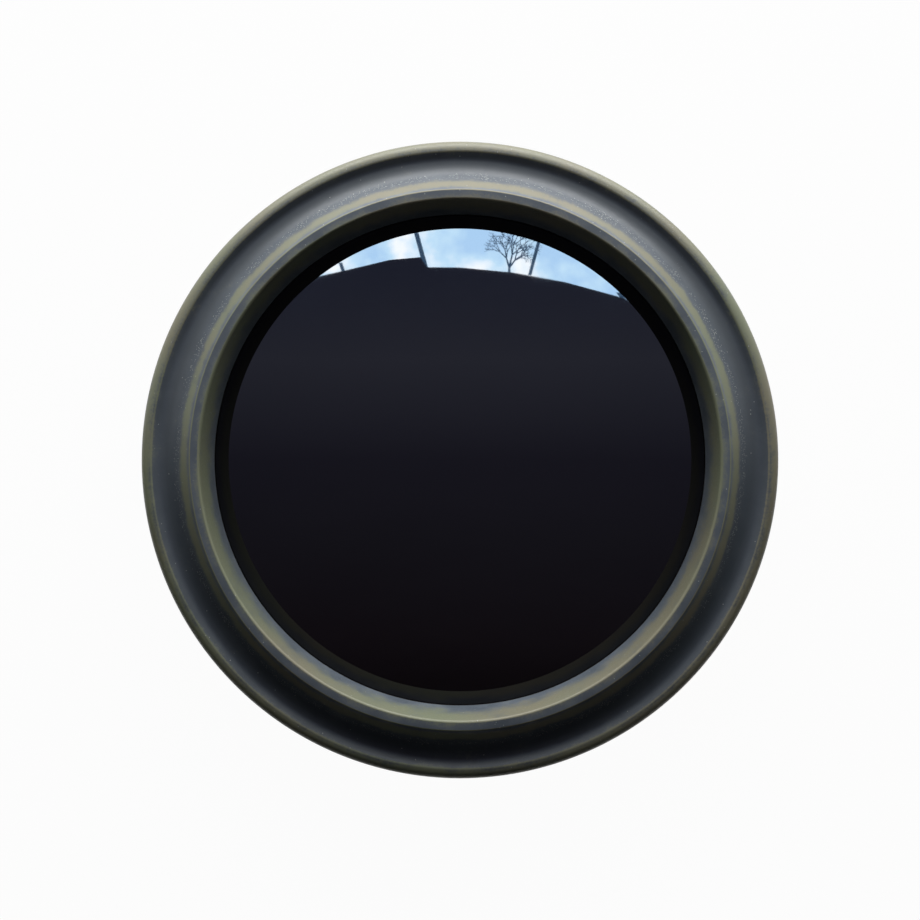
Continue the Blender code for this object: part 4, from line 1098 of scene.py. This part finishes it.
def makeFlag(shape):
    # a black half-round flag behind the front of the hatch
    first, last = shape["flagSpan"]
    bm = bmesh.new()
    start = onCircle(shape["flagRadius"], first)
    low = bm.verts.new((start.x, start.y, 0.5 * mm))
    high = bm.verts.new((start.x, start.y, shape["flagHeight"]))
    bmesh.ops.spin(bm, geom=[low, high, bm.edges.new((low, high))], cent=(0, 0, 0), axis=(0, 0, 1),
                   dvec=(0, 0, 0), angle=math.radians(last - first), steps=48, use_merge=False,
                   use_duplicate=False)
    stageCard(newObject("flag", bm), "#000000", 0)


def makeOverhead(shape):
    # a dim ceiling above the lens, darker to the front; its far edge is the roof line that the lens mirrors
    height, half, near = shape["cardHeight"], shape["ceilingHalf"], shape["ceilingNear"]
    roof = []
    for step in range(25):
        x = -half + 2 * half * step / 24
        roof.append((x, shape["roofEdge"] + shape["roofTilt"] * x - shape["roofCurve"] * x * x))
    outlines = {"ceilingCard": ([(-half, near)] + roof + [(half, near)], height),
                "eaveCard": (shape["eave"], height - 2 * mm)}
    low, high = shape["ceilingStops"][0][0], shape["ceilingStops"][-1][0]
    stops = [((place - low) / (high - low), code) for place, code in shape["ceilingStops"]]
    for name, (outline, level) in outlines.items():
        _, tree, glow = makeCard(name, outline, level, "#000000", 1)
        spot = (addNode(tree, "TexCoord"), "Object")
        split = addNode(tree, "SeparateXYZ", {0: spot})
        share = addNode(tree, "MapRange", {"Value": (split, 1), "From Min": low, "From Max": high})
        setInputs(tree, glow, {"Color": addNode(tree, "ValToRGB", {0: share}, stops)})


def makeTree(shape):
    # a bare tree, as flat strips that fork into ever thinner twigs
    chance = random.Random(7)
    bm = bmesh.new()

    def grow(start, heading, length, width, forks):
        along = Vector((math.cos(heading), math.sin(heading), 0))
        across = Vector((-along.y, along.x, 0)) * width / 2
        end = start + along * length
        corners = (start - across, start + across, end + across * 0.7, end - across * 0.7)
        bm.faces.new([bm.verts.new(corner) for corner in corners])
        if forks:
            for turn in (-0.55, 0.0, 0.55):
                grow(end, heading + turn + chance.uniform(-0.3, 0.3), length * chance.uniform(0.6, 0.95),
                     width * 0.66, forks - 1)

    foot = Vector((*shape["tree"], shape["cardHeight"] + 12 * mm))
    grow(foot, math.pi / 2, *shape["trunk"], shape["treeForks"])
    stageCard(newObject("tree", bm), *shape["poleGlow"])


def makeSky(shape):
    # a bright sky behind the roof line, with clouds, a bare tree and a few poles. Only the lens mirrors it
    half = shape["skyHalf"]
    near, far = shape["skySpan"]
    outline = [(-half, near), (half, near), (half, far), (-half, far)]
    sky, tree, glow = makeCard("skyCard", outline, shape["cardHeight"] + 20 * mm, *shape["skyGlow"])
    spot = (addNode(tree, "TexCoord"), "Object")
    clouds = addNode(tree, "TexNoise", {"Vector": spot, "Scale": 14.0, "Detail": 3.0})
    setInputs(tree, glow, {"Color": addNode(tree, "ValToRGB", {0: clouds}, shape["cloudStops"])})
    mirrors = bpy.data.collections.new("mirrors")
    mirrors.objects.link(bpy.data.objects["lensDisc"])
    sky.light_linking.receiver_collection = mirrors
    for number, (top, foot, width) in enumerate(shape["poles"]):
        outline = [(top[0] - width / 2, top[1]), (top[0] + width / 2, top[1]),
                   (foot[0] + width / 2, foot[1]), (foot[0] - width / 2, foot[1])]
        makeCard(f"poleCard{number + 1}", outline, shape["cardHeight"] + 10 * mm, *shape["poleGlow"])
    makeTree(shape)


def makeWindow(shape):
    light = bpy.data.lights.new("windowLight", "AREA")
    light.shape = "RECTANGLE"
    light.size, light.size_y = shape["windowSize"]
    light.energy = shape["windowPower"]
    window = bpy.data.objects.new("windowLight", light)
    bpy.context.scene.collection.objects.link(window)
    window.location = shape["windowPlace"]
    aim = Vector(shape["windowAim"]) - Vector(shape["windowPlace"])
    window.rotation_euler = aim.to_track_quat("-Z", "Y").to_euler()


def makeWorld(shape):
    # white to the camera and in reflections, a faint fill to all else
    world = bpy.data.worlds.new("studio")
    bpy.context.scene.world = world
    world.use_nodes = True
    tree = world.node_tree
    tree.nodes.clear()
    level = addNode(tree, "MapRange", {"Value": seenRays(tree), "To Min": shape["fill"], "To Max": 1.0})
    backdrop = addNode(tree, "Background", {"Color": (1, 1, 1, 1), "Strength": level})
    addNode(tree, "OutputWorld", {"Surface": backdrop})


def makeCamera(shape):
    data = bpy.data.cameras.new("camera")
    data.lens = shape["lens"]
    camera = bpy.data.objects.new("camera", data)
    bpy.context.scene.collection.objects.link(camera)
    camera.location = (0, 0, lidHigh.z + shape["cameraAbove"])
    bpy.context.scene.camera = camera
    bpy.context.scene.view_settings.view_transform = "Standard"


for makePart in (makeFloor, makeOverhead, makeFlag, makeSky, makeWindow, makeWorld, makeCamera):
    makePart(stageShape)
print("stage 10: floor, light and camera set")
